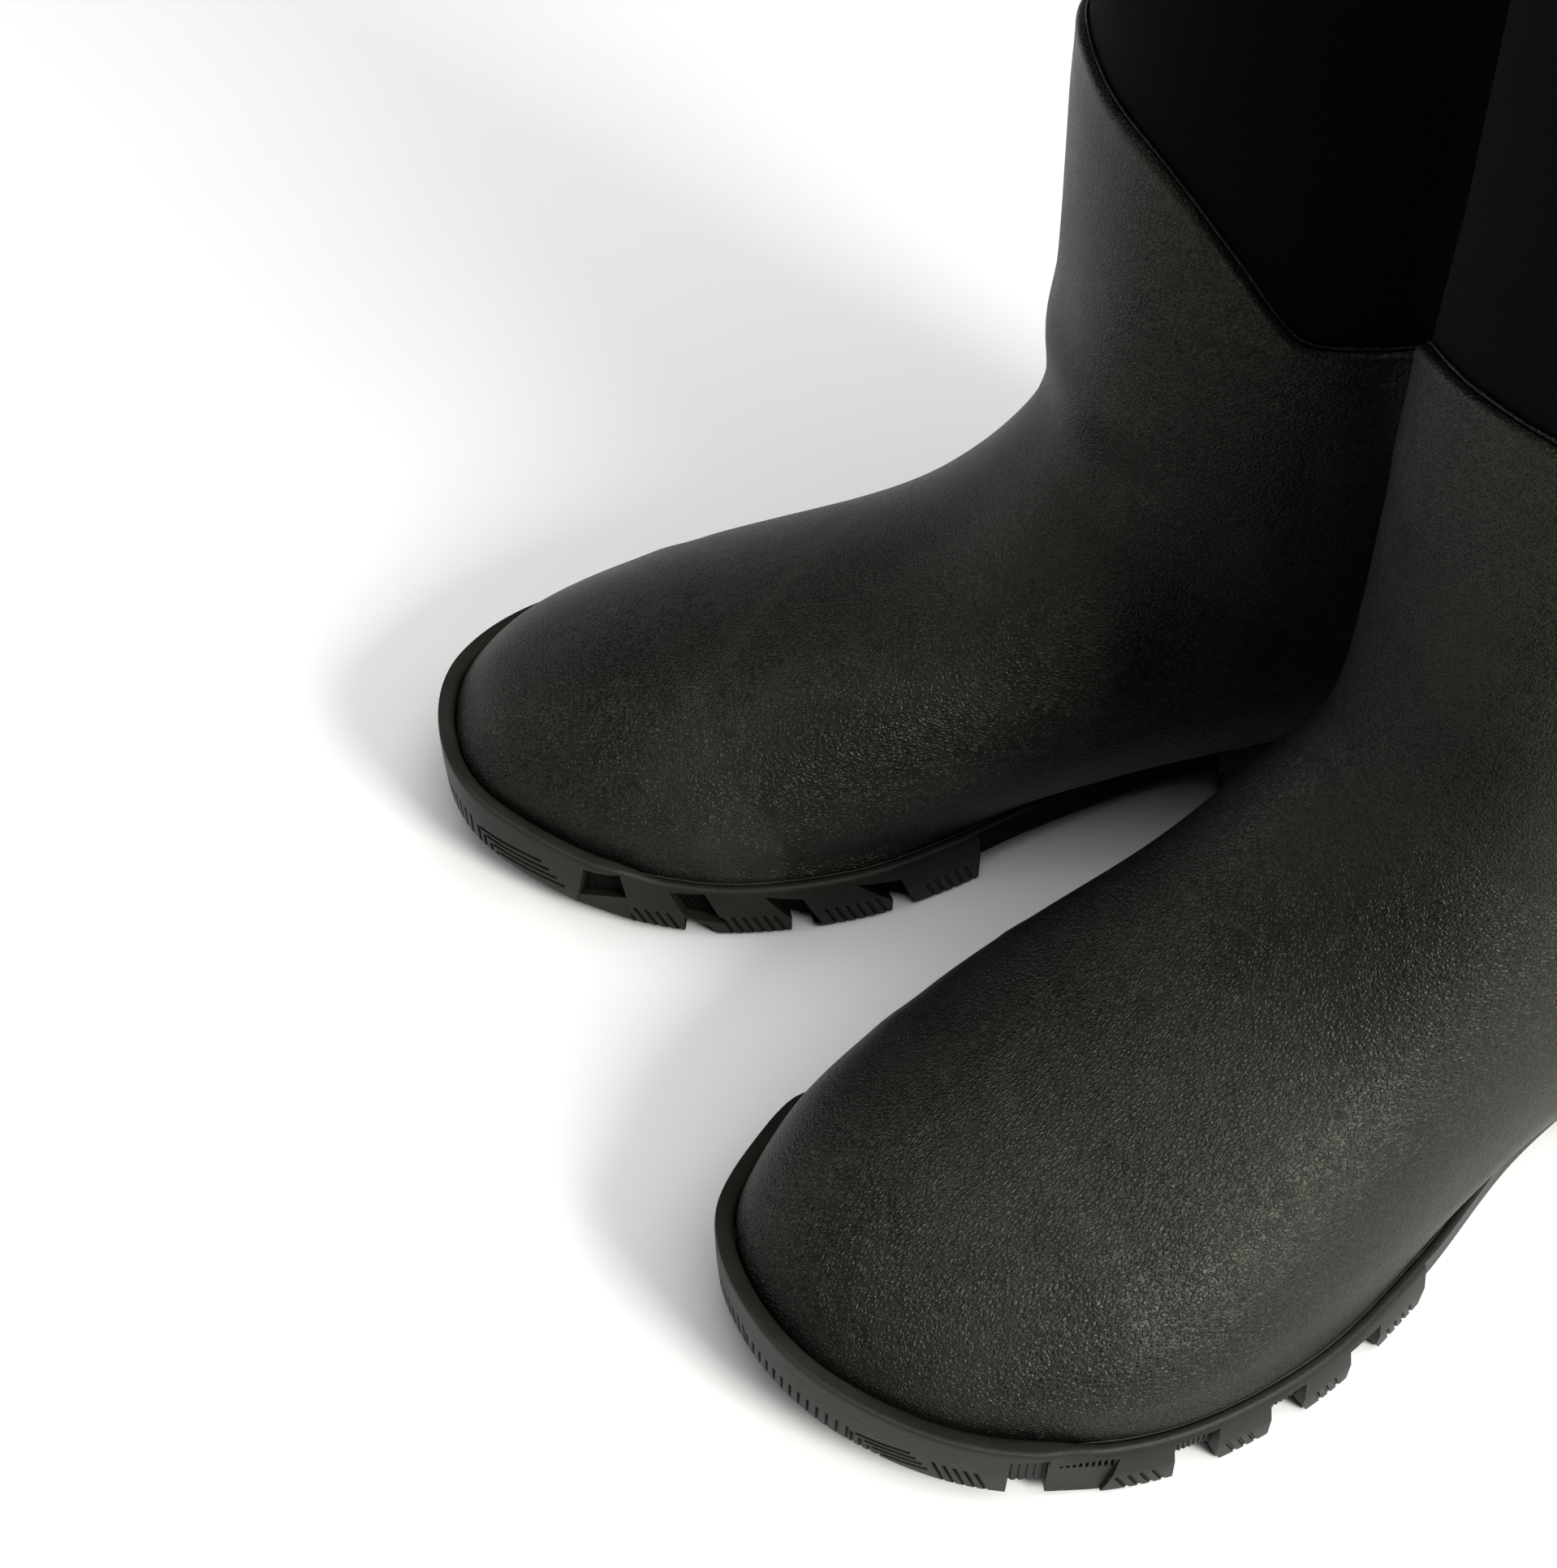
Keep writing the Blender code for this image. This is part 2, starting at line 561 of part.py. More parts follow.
def make_cuff(side, frame):
    outside, inside = NEOPRENE[0] - GAP, LINING[1] + GAP
    low, high = SHAFT_TOP - BINDING_SKIRT, SHAFT_TOP + GAP
    out, over = outside - BINDING_THICKNESS, high + BINDING_THICKNESS
    into = inside + BINDING_THICKNESS
    profile = [(out, low), (outside, low), (outside, high), (inside, high), (inside, low), (into, low), (into, over), (out, over)]
    add_object(f"{side}_cuff_binding", swept_ring(profile), "webbing", frame)
    tape_low = TOPLINE[-1][1] + TRIM_HEIGHT + 2 * GAP
    tape = back_strip(TAPE_DEPTH, TAPE_WIDTH, tape_low, low - GAP, 4)
    add_object(f"{side}_back_seam_tape", tape, "webbing", frame)
    tab = back_strip(TAB_DEPTH, TAB_WIDTH, *TAB_SPAN, 3)
    add_object(f"{side}_pull_tab", tab, "webbing", frame)


def make_boot(side, hand):
    """One boot: hand 1 is the left boot, at +X, and -1 the right one."""
    heading = math.radians(-90 + hand * TOE_OUT_DEG)
    centre_x, centre_y = PAIR_CENTRE
    heel = (hand * HEEL_SPREAD / 2 - centre_x, hand * HEEL_STAGGER / 2 - centre_y)
    empty = bpy.data.objects.new(f"{side}_boot", None)
    bpy.context.scene.collection.objects.link(empty)
    empty.matrix_world = Matrix.Translation((heel[0] * MM, heel[1] * MM, 0)) @ Matrix.Rotation(heading, 4, "Z")
    frame = {"empty": empty, "mirror": Matrix.Diagonal((1, hand, 1, 1))}
    make_sole(side, frame)
    make_upper(side, frame)
    make_cuff(side, frame)


for old in list(bpy.data.objects):
    bpy.data.objects.remove(old)
make_boot("left", 1)
make_boot("right", -1)
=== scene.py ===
"""Looks for a pair of tall rubber and neoprene boots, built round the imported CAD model.

Each boot is worked out in its own frame, in millimetres: x from the back of the heel to the toe, y outwards
(lateral) and z up. The upper's layers all come from one surface, evaluated at a depth below the outer skin.
"""

import math

import bmesh
import bpy
import numpy as np
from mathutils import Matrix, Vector, noise


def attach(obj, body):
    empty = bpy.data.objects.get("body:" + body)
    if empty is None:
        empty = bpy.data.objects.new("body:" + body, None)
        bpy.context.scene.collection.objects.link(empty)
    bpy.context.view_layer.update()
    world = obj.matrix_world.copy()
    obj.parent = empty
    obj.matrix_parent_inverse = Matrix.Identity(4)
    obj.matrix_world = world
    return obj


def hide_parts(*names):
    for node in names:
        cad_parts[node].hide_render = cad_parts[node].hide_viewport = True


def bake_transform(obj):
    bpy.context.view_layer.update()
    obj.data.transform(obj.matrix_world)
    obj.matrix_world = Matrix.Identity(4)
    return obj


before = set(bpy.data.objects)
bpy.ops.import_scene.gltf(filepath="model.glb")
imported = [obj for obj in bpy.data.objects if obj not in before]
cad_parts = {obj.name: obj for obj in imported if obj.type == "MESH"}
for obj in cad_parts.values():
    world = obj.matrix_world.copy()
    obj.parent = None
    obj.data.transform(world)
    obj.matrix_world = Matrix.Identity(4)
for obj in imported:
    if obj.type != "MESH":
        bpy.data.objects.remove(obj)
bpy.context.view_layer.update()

MM = 0.001
HANDS = {"left": 1, "right": -1}
REST_SHIFT = {"left": 0.0, "right": 700.0}  # sets the boots' patterns apart, in their y

# Placement of the pair, as in the CAD model
TOE_OUT_DEG, HEEL_SPREAD, HEEL_STAGGER = 11.8, 81.0, 23.0
PAIR_CENTRE = (0.0, -147.85)

# Sole
SOLE_LENGTH = 300.0
SOLE_OUTLINE = (
    (0, 0), (9, 25), (38, 36), (78, 36), (118, 41), (158, 54), (196, 62), (236, 59), (272, 43), (294, 18),
    (300, -8), (293, -32), (270, -50), (250, -58), (225, -62.5), (195, -61), (172, -54.5), (150, -45.5),
    (125, -38), (105, -34), (70, -33), (30, -33), (6, -20),
)
RIM_HEIGHT = (
    (0, 31), (40, 28), (80, 24.5), (112, 21), (150, 17.5), (190, 15.8), (228, 15.6), (252, 18), (275, 23),
    (300, 31),
)
SPRING_START, TOE_SPRING = 225.0, 15.5
BUMPER_START, BUMPER_FULL, BUMPER_RISE = 246.0, 258.0, 2.5
CUP_WALL, CUP_DEPTH, CUP_FLOOR, SEAT_GAP = 3.6, 7.0, 2.0, 1.0
HEEL_BREAST, HEEL_LUG_HEIGHT, TOE_BLOCK_START = 94.0, 6.0, 268.0
WAIST_FRONT = 158.5

# Upper
FRONT_LINE = (
    (295.4, 29.5), (294.8, 33), (291.5, 37.5), (284, 43), (271, 48.5), (254, 54), (235, 58.5), (212, 64),
    (192, 71), (177, 78), (166, 87), (156, 98), (149, 109), (145.5, 121), (144, 136), (144, 160),
    (145, 195), (145, 235), (147, 295), (150, 395),
)
BACK_LINE = (
    (4.6, 30.7), (3, 40), (4, 54), (8, 72), (15, 92), (22, 112), (27, 132), (30, 150), (31, 175), (30, 210),
    (28, 260), (24, 320), (19, 395),
)
PIVOT = (200.0, 142.0)
LATERAL_LEG = ((0, 50), (20, 49), (38, 46.5), (60, 48), (90, 52.5))
MEDIAL_LEG = ((0, 52.5), (20, 52.5), (38, 52), (60, 51.5), (90, 52.5))
SHAFT_HALF_WIDTH = ((140, 52.5), (200, 53.5), (290, 54.5), (395, 55))
RIDGE = ((110, 0), (140, -4), (165, -8), (200, -11), (250, -14), (275, -12), (300, -8))
LATERAL_WIDEST = ((110, 0.5), (140, 0.4), (165, 0.3), (200, 0.12), (300, 0.12))
LATERAL_POWER = ((110, 2.15), (165, 2.3), (200, 2.0), (300, 1.9))
MEDIAL_WIDEST = ((110, 0.5), (160, 0.42), (200, 0.35), (228, 0.2), (300, 0.2))
MEDIAL_POWER = ((110, 2.35), (160, 2.8), (200, 2.9), (212, 2.6), (230, 2.05), (300, 2.0))
SIDE_BULGE = ((140, 1.025), (225, 1.025), (255, 1.0), (300, 1.0))
TOPLINE = (
    (0, 213), (20, 210.5), (38, 206.5), (50, 200), (63.5, 187.5), (74, 175), (79.5, 169.5), (86, 167),
    (108, 164.8), (125, 164), (150, 164), (190, 164),
)
TOPLINE_TURN = 8.0
SHAFT_TOP = 386.0
NEOPRENE, LINING = (3.1, 7.2), (9.4, 10.4)  # depths of each layer under the outer skin
SOCK_DROP = 3.8
LAST_INSET = 18.5
BOARD_LIFT, BED_GAP = 1.8, 0.4  # from the sock's foot up to the footbed
BEAD_END = 252.0
SHAFT_MIDDLE = 87.0


# Curves and tables


def smooth_curve(points, closed=False, steps=16):
    """Catmull-Rom curve through the points, as an array."""
    points = np.array(points, float)
    if closed:
        padded = np.vstack([points[-1], points, points[:2]])
    else:
        padded = np.vstack([2 * points[0] - points[1], points, 2 * points[-1] - points[-2]])
    rows = []
    for before, start, end, after in zip(padded, padded[1:], padded[2:], padded[3:]):
        for t in np.arange(steps) / steps:
            square = 2 * before - 5 * start + 4 * end - after
            cube = 3 * start - before - 3 * end + after
            rows.append(start + 0.5 * ((end - before) * t + square * t**2 + cube * t**3))
    if not closed:
        rows.append(points[-1])
    return np.array(rows)


def directions(path, closed=False):
    """Unit tangents of a path."""
    tangent = np.roll(path, -1, 0) - np.roll(path, 1, 0) if closed else np.gradient(path, axis=0)
    return tangent / np.linalg.norm(tangent, axis=1)[:, None]


def run_of(path):
    """How far along the path each of its points is."""
    return np.concatenate([[0], np.cumsum(np.linalg.norm(np.diff(path, axis=0), axis=1))])


def point_at(value, places, path):
    """Point of the path where its places reach the value."""
    return np.array([np.interp(value, places, column) for column in path.T])


def offset_curve(curve, distance, closed=False):
    """The curve moved to its left by the distance."""
    along = directions(curve, closed)
    return curve + distance * np.c_[-along[:, 1], along[:, 0]]


CURVES = {}


def at(table, value):
    """Value at a place, from a table of (place, value) rows, smoothed between its rows."""
    if table not in CURVES:
        CURVES[table] = smooth_curve(table).T
    place, height = CURVES[table]
    return np.interp(value, place, height)


def smoothstep(value, low, high):
    part = np.clip((value - low) / (high - low), 0, 1)
    return part * part * (3 - 2 * part)


def rim(x):
    """Height of the sole's rim, where the upper stands on it."""
    return at(RIM_HEIGHT, x)


def bumper(x):
    """Height of the rim's outer edge, which is higher at the toe."""
    return rim(x) + BUMPER_RISE * smoothstep(x, BUMPER_START, BUMPER_FULL)


def tread_top(x):
    return rim(x) - CUP_DEPTH - CUP_FLOOR


def ground(x):
    """Height of the sole's underside, which springs up at the toe."""
    beyond = np.maximum(0.0, np.asarray(x, float) - SPRING_START)
    return TOE_SPRING * (beyond / (SOLE_LENGTH - SPRING_START)) ** 2


class Outline:
    """The sole's outline moved in by an inset, read as the y of its two sides at an x."""

    def __init__(self, inset):
        curve = offset_curve(smooth_curve(SOLE_OUTLINE, closed=True), -inset, closed=True)
        curve = np.roll(curve, -int(np.argmin(curve[:, 0])), 0)
        tip = int(np.argmax(curve[:, 0]))
        self.sides = {1: curve[: tip + 1], -1: np.vstack([curve[tip:], curve[:1]])[::-1]}
        self.back, self.tip = curve[0, 0], curve[tip, 0]

    def stations(self, steps):
        """Places from the back to the tip, closer together towards both ends."""
        parts = (1 - np.cos(np.linspace(0, math.pi, steps + 1))) / 2
        return self.back + (self.tip - self.back) * parts

    def y(self, x, side):
        place, height = self.sides[side].T
        return np.interp(x, np.maximum.accumulate(place), height)


class Wall:
    """The sole's side wall, unrolled: s runs round the outline from the toe tip, lateral side positive."""

    def __init__(self):
        curve = smooth_curve(SOLE_OUTLINE, closed=True, steps=24)
        curve = np.roll(curve, -int(np.argmax(curve[:, 0])), 0)[::-1]  # from the tip to the lateral side
        self.curve = np.vstack([curve[-1:], curve])
        self.s = run_of(self.curve)
        self.length = self.s[-1]
        self.back = self.s[int(np.argmin(self.curve[:, 0]))]

    def point(self, s, depth):
        start, end = (point_at((s + shift) % self.length, self.s, self.curve) for shift in (-0.4, 0.4))
        along = (end - start) / np.linalg.norm(end - start)
        return (start + end) / 2 + depth * np.array([-along[1], along[0]])

    def s_of(self, x, side):
        """Where the wall passes an x on one side."""
        half = (self.s <= self.back) if side > 0 else (self.s >= self.back)
        xs, ss = self.curve[half, 0], self.s[half]
        order = np.argsort(xs)
        return np.interp(x, xs[order], ss[order])


# The upper's surface


class Skin:
    """The upper's surface at one depth below its outer skin, in rows of points from side to side."""

    def __init__(self, depth, columns=(12, 22)):
        self.depth = depth
        self.columns = columns
        self.count = 2 * sum(columns) + 1
        self.base = Outline(CUP_WALL + SEAT_GAP + depth)
        self.front = offset_curve(smooth_curve(FRONT_LINE), depth)
        self.back = offset_curve(smooth_curve(BACK_LINE), -depth)
        self.heel_angle = self.angle(self.base.back)

    @staticmethod
    def angle(x):
        return math.degrees(math.atan2(PIVOT[0] - x, PIVOT[1] - rim(x)))

    @staticmethod
    def crossing(curve, angle):
        angles = np.degrees(np.arctan2(PIVOT[0] - curve[:, 0], PIVOT[1] - curve[:, 1]))
        return point_at(angle, np.maximum.accumulate(angles), curve)

    def footing(self, x, centre):
        """Reach of the upper's foot from its centre to the lateral and to the medial side, at the rim."""
        return [max(0.0, side * (self.base.y(x, side) - centre)) for side in (1, -1)]

    def section(self, low, high, half, base, centre, station):
        """Points over one plane, from the lateral end over the front to the medial end."""
        behind, ahead = self.columns
        lines = []
        shapes = ((LATERAL_WIDEST, LATERAL_POWER), (MEDIAL_WIDEST, MEDIAL_POWER))
        for side, width, foot, tables in zip((1, -1), half, base, shapes):
            widest, power = (at(table, station) for table in tables)
            start = math.acos(min(1.0, foot / width))
            turn = start * (1 - np.arange(behind) / behind)
            fall = np.sin(turn) / math.sin(start) if start > 0.001 else 1 - np.arange(behind) / behind
            over = math.pi / 2 * np.arange(ahead + 1) / ahead
            along = np.concatenate([widest * (1 - fall), widest + (1 - widest) * np.sin(over) ** (2 / power)])
            out = np.concatenate([width * np.cos(turn), width * np.abs(np.cos(over)) ** (2 / power)])
            out[-1] = 0.0
            plane = low + (high - low) * along[:, None]
            lines.append(np.c_[plane[:, 0], centre + side * out, plane[:, 1]])
        return np.vstack([lines[0], lines[1][-2::-1]])

    def upright(self, x):
        place, height = self.front[::-1].T
        low, top = rim(x), np.interp(x, np.maximum.accumulate(place), height)
        centre = at(RIDGE, x)
        base = self.footing(x, centre)
        half = [max(0.001, width * at(SIDE_BULGE, x)) for width in base]
        return self.section(np.array([x, low]), np.array([x, max(top, low)]), half, base, centre, x)

    def fanned(self, angle, base_x=None):
        station = PIVOT[0] - angle
        centre, base = at(RIDGE, station), (0.0, 0.0)
        low = self.crossing(self.back, angle)
        if base_x is not None:
            low = np.array([base_x, rim(base_x)])
            base = self.footing(base_x, centre)
        half = []
        for side, leg, width in zip((1, -1), (LATERAL_LEG, MEDIAL_LEG), base):
            reach = at(leg, angle) - self.depth - side * centre
            half.append(max(reach, width * SIDE_BULGE[0][1]))
        return self.section(low, self.crossing(self.front, angle), half, base, centre, station)

    def ring(self, height):
        back = np.interp(height, self.back[:, 1], self.back[:, 0])
        front = np.interp(height, np.maximum.accumulate(self.front[:, 1]), self.front[:, 0])
        half = [at(SHAFT_HALF_WIDTH, height) - self.depth] * 2
        low, high = np.array([back, height]), np.array([front, height])
        return self.section(low, high, half, (0.0, 0.0), 0.0, PIVOT[0] - 90)

    def level(self, heights):
        """Row with its own height for each column, read from a stack of level rings."""
        heights = np.broadcast_to(heights, self.count)
        steps = np.linspace(heights.min(), heights.max() + 1e-6, 14)
        stack = np.array([self.ring(height) for height in steps])
        return np.array([(*point_at(z, steps, stack[:, k, :2]), z) for k, z in enumerate(heights)])

    def foot_rows(self, toe, waist, heel):
        """Rows from the toe to the level of the pivot, and how many of the first ones end on the rim."""
        rows = []
        for part in np.linspace(0, 1, toe, endpoint=False) ** 2.1:
            rows.append(self.upright(self.base.tip + (PIVOT[0] - self.base.tip) * part))
        for part in 1 - (1 - np.linspace(0, 1, waist)) ** 1.5:
            x = PIVOT[0] + (self.base.back - PIVOT[0]) * part
            rows.append(self.fanned(self.angle(x), x))
        for part in np.linspace(0, 1, heel + 1)[1:]:
            rows.append(self.fanned(self.heel_angle + (90 - self.heel_angle) * part))
        return rows, toe + waist


def with_skirts(rows, open_rows):
    """Rows with a column more at each end, which drops into the sole's cup."""
    result = []
    for row in rows:
        ends = [row[k] * (1, 1, 0) + (0, 0, rim(row[k][0]) - SOCK_DROP) for k in (0, -1)]
        result.append(np.vstack([ends[0], row, ends[1]]))
    used = np.ones((len(rows) - 1, len(result[0]) - 1), bool)
    used[open_rows - 1 :, 0] = used[open_rows - 1 :, -1] = False
    return result, used


def topline(row):
    """Height of the rubber's top edge over each point of a level ring."""
    middle = (row[:, 0].max() + row[:, 0].min()) / 2
    angles = np.degrees(np.arctan2(row[:, 1], row[:, 0] - middle))
    return at(TOPLINE, np.abs(angles - TOPLINE_TURN))


# Meshes


def stance(side):
    """Cosine and sine of a boot's heading, and where the back of its heel is, in millimetres."""
    hand = HANDS[side]
    heading = math.radians(-90 + hand * TOE_OUT_DEG)
    heel_x, heel_y = hand * HEEL_SPREAD / 2 - PAIR_CENTRE[0], hand * HEEL_STAGGER / 2 - PAIR_CENTRE[1]
    return math.cos(heading), math.sin(heading), heel_x, heel_y


def place(points, side):
    """Points of a boot's own frame, in millimetres, to the row frame, in metres."""
    cos, sin, heel_x, heel_y = stance(side)
    x, y, z = np.asarray(points, float).reshape(-1, 3).T
    y = y * HANDS[side]
    return np.c_[heel_x + cos * x - sin * y, heel_y + sin * x + cos * y, z] * MM


def set_rest(mesh, side):
    """Keeps each point's place in the boot's own frame, in millimetres, for the materials."""
    cos, sin, heel_x, heel_y = stance(side)
    points = np.empty(len(mesh.vertices) * 3)
    mesh.vertices.foreach_get("co", points)
    x, y, z = points.reshape(-1, 3).T / MM
    x, y = x - heel_x, y - heel_y
    own = np.c_[cos * x + sin * y, HANDS[side] * (cos * y - sin * x) + REST_SHIFT[side], z]
    rest = mesh.attributes.get("rest") or mesh.attributes.new("rest", "FLOAT_VECTOR", "POINT")
    rest.data.foreach_set("vector", own.astype(np.float32).ravel())


def add_object(name, data):
    made = bpy.data.objects.new(name, data)
    bpy.context.scene.collection.objects.link(made)
    return made


def make_object(name, points, faces, side, sharp=35):
    """Mesh object of a boot's own points; its attribute rest keeps their places, in millimetres."""
    mesh = bpy.data.meshes.new(name)
    mesh.from_pydata(place(points, side).tolist(), [], [list(map(int, face)) for face in faces])
    set_rest(mesh, side)
    work = bmesh.new()
    work.from_mesh(mesh)
    bmesh.ops.recalc_face_normals(work, faces=work.faces)
    work.to_mesh(mesh)
    work.free()
    mesh.shade_smooth()
    mesh.set_sharp_from_angle(angle=math.radians(sharp))
    return add_object(name, mesh)


def weld(points, faces):
    """Index of each distinct point, and the faces on them that keep three corners or more."""
    _, first, index = np.unique(np.round(points, 3), axis=0, return_index=True, return_inverse=True)
    index, kept = index.ravel(), []
    for face in faces:
        corners = index[face].tolist()
        corners = [c for k, c in enumerate(corners) if c != corners[k - 1]]
        if len(set(corners)) == len(corners) > 2:
            kept.append(corners)
    return first, kept


def cells(index):
    """Corners of each cell in a grid of indices."""
    return np.stack([index[:-1, :-1], index[:-1, 1:], index[1:, 1:], index[1:, :-1]], 2).reshape(-1, 4)


def shell(outer, inner, used=None):
    """Closed shell between two grids of the same shape; used tells which of their cells have a face."""
    outer, inner = np.array(outer), np.array(inner)
    quads = cells(np.arange(outer[..., 0].size).reshape(outer.shape[:2]))
    first, quads = weld(outer.reshape(-1, 3), quads if used is None else quads[used.ravel()])
    count = len(first)
    points = np.vstack([outer.reshape(-1, 3)[first], inner.reshape(-1, 3)[first]])
    faces = quads + [[c + count for c in face[::-1]] for face in quads]
    edges = {}
    for face in quads:
        for a, b in zip(face, face[1:] + face[:1]):
            edges.setdefault((min(a, b), max(a, b)), []).append((a, b))
    for uses in edges.values():
        if len(uses) == 1:
            a, b = uses[0]
            faces.append([b, a, a + count, b + count])
    return points, faces


def loft(rings, closed=False):
    """Skin over a row of rings with equal numbers of corners; its ends are capped unless it runs round."""
    index = np.arange(len(rings) * len(rings[0])).reshape(len(rings), -1)
    near, far = (index, np.roll(index, -1, 0)) if closed else (index[:-1], index[1:])
    faces = np.stack([near, far, np.roll(far, -1, 1), np.roll(near, -1, 1)], 2).reshape(-1, 4).tolist()
    if not closed:
        faces += [index[0].tolist(), index[-1, ::-1].tolist()]
    return np.reshape(rings, (-1, 3)), faces


def tube(path, radius, sides, closed=True, squash=1.0):
    """Round tube along a path; squash flattens it in height."""
    path = np.array(path, float)
    along = directions(path, closed)
    across = np.cross(along, (0.0, 0.0, 1.0))
    across /= np.linalg.norm(across, axis=1)[:, None]
    over = squash * np.cross(across, along)
    turns = (np.arange(sides) * 2 * math.pi / sides)[:, None]
    rings = []
    for middle, width, right, up in zip(path, np.broadcast_to(radius, len(path)), across, over):
        rings.append(middle + width * (np.cos(turns) * right + np.sin(turns) * up))
    return loft(rings, closed)


def joined(parts):
    """One (points, faces) from several."""
    points, faces, start = [], [], 0
    for more, its in parts:
        points.extend(np.asarray(more, float).tolist())
        faces.extend([[c + start for c in face] for face in its])
        start += len(more)
    return points, faces


# The sole

WINDOW_DEPTH, RIM_SET_BACK = 3.2, 1.9
SLOT_REACH, WAIST_SET_BACK, PAINTED_SHADE_INSET = 24.0, 2.2, 1.55
HEEL_GAPS = ((30, 36), (52, 58), (72, 78), (91.5, 94))
CENTRE_LUGS = (244, 218, 192, 166)
# Openings in the side wall, as (x, z) corners: heel side low, toe side low, toe side high, heel side high
WINDOWS = {
    1: (
        ((259, -6), (266.8, -6), (266.6, 19.5), (259, 19.5)),
        ((223, -6), (231.5, -6), (232.5, 13.8), (221.5, 13.6)),
        ((199.5, -6), (207.5, -6), (208.3, 13), (198.5, 13)),
        ((176, -6), (184, -6), (185, 12.4), (174.8, 12.2)),
    ),
    -1: (
        ((255.1, 11), (267.6, 8.3), (265.6, 20.2), (256.7, 20)),
        ((230.5, 4.5), (240.6, 6.8), (244.8, 14.8), (235.7, 14.8)),
        ((205.3, 1.2), (213.8, 5.4), (220.4, 13.4), (210.4, 11.4)),
        ((180.5, 1), (186.8, 5), (196.2, 13.2), (184.4, 11.4)),
    ),
}
# Shallow facets beside the openings nearest the toe, as (x, z) corners
FACETS = {
    1: ((259.6, -2), (259.4, 16.9), (244.5, 14.2), (248.6, -2)),
    -1: ((268.4, -2), (267.9, 8.6), (255.2, 11.4), (254.2, -2)),
}
FACET_DEPTH = {1: 1.5, -1: 1.15}
# Gaps between the lugs at the ground, cut far in, as (x, z) corners
SLOTS = {
    1: (
        ((259, -6), (266.8, -6), (266.8, 5.5), (259, 5.5)),
        ((220, -6), (231.5, -6), (231.5, 6.2), (223, 6.2), (220, -0.05)),
        ((196.5, -6), (207.5, -6), (207.5, 6.2), (199.5, 6.2), (196.5, -0.05)),
        ((172.5, -6), (184, -6), (184, 6.6), (176, 6.6), (172.5, -0.05)),
    ),
    -1: (
        ((232, -6), (241, -6), (241, 6.6), (235, 3.9), (232, -0.05)),
        ((205, -6), (213.4, -6), (213.4, 5.4), (207.9, 2.6), (205, -0.05)),
        ((179, -6), (186.6, -6), (186.6, 5.4), (183.5, 3.6), (179, -0.05)),
    ),
}
LUGS = {
    1: ((233, 245), (210, 220), (186, 196.5), (160, 172.5)),
    -1: ((241.5, 256), (214, 232), (187, 205), (163, 179)),
}
WAIST_ENDS = {1: 158.5, -1: 162.5}


def block(xs, sides, low, high):
    """Closed block over steps in x; sides gives its two edges at an x, and low and high its heights."""
    grids = []
    for height in (high, low):
        grids.append([[(x, y, height(x)) for y in sides(x)] for x in xs])
    return shell(*grids)


def prism(wall, path, widths, depths, side):
    """Closed prism along a path of (x, z) on one side of the wall."""
    return wall_prism(wall, [(wall.s_of(x, side), z) for x, z in path], widths, depths)


def wall_prism(wall, path, widths, depths):
    """Closed prism along a path of (s, z), with a width and a depth at its outside and at its floor."""
    path = np.array(path, float)
    along = directions(path)
    rings = []
    for here, normal in zip(path, np.c_[-along[:, 1], along[:, 0]]):
        ring = []
        for end, sign in ((0, -0.5), (0, 0.5), (1, 0.5), (1, -0.5)):
            s, z = here + sign * widths[end] * normal
            ring.append((*wall.point(s, depths[end]), z))
        rings.append(ring)
    return loft(rings)


def side_block(wall, side, corners, near, far):
    """Closed block with the outline of (x, z) corners on the wall, between two depths."""
    return loft([[(*wall.point(wall.s_of(x, side), depth), z) for x, z in corners] for depth in (near, far)])


def sole_body():
    """The sole before it is cut: one closed solid from the ground to the rim, hollowed by the cup."""
    steps = 130

    def middle(x):
        return (ground(x) + bumper(x)) / 2

    # (inset, share of the rim's set-back, surface, height over it), from the ground up, over and into the cup
    rings = (
        (1.3, 0.0, ground, 0.0), (0.7, 0.0, ground, 0.4), (0.5, 0.0, ground, 1.2), (0.1, 0.1, middle, 0.0),
        (0.0, 0.75, bumper, -1.9), (0.05, 0.9, bumper, -0.9), (0.25, 1.0, bumper, -0.35),
        (0.7, 1.0, bumper, -0.05), (1.2, 0.8, bumper, 0.0), (3.0, 0.3, bumper, 0.0), (3.7, 0.1, bumper, -0.1),
        (4.1, 0.0, bumper, -0.4), (4.25, 0.0, bumper, -0.9), (4.25, 0.0, rim, -1.6),
        (CUP_WALL, 0.0, rim, -2.4), (CUP_WALL, 0.0, rim, -CUP_DEPTH),
    )
    levels = []
    for inset, share, surface, lift in rings:
        outline, drawn_in = Outline(inset), Outline(inset + RIM_SET_BACK)
        xs = outline.stations(steps)
        zs = surface(xs) + lift
        weight = share * smoothstep(xs, 18, 45) * (1 - smoothstep(xs, 250, 262))
        left, right = (outline.y(xs, side) * (1 - weight) + drawn_in.y(xs, side) * weight for side in (1, -1))
        for ends in (0, -1):
            left[ends] = right[ends] = (left[ends] + right[ends]) / 2
        levels.append([np.c_[xs, left, zs], np.c_[xs, right, zs]])
    points = np.reshape(levels, (-1, 3))
    left, right = np.arange(len(points)).reshape(len(rings), 2, steps + 1).swapaxes(0, 1)
    floors = [cells(np.c_[left[level], right[level]]) for level in (0, -1)]
    first, faces = weld(points, np.vstack([*floors, cells(left), cells(right)]))
    return points[first], faces


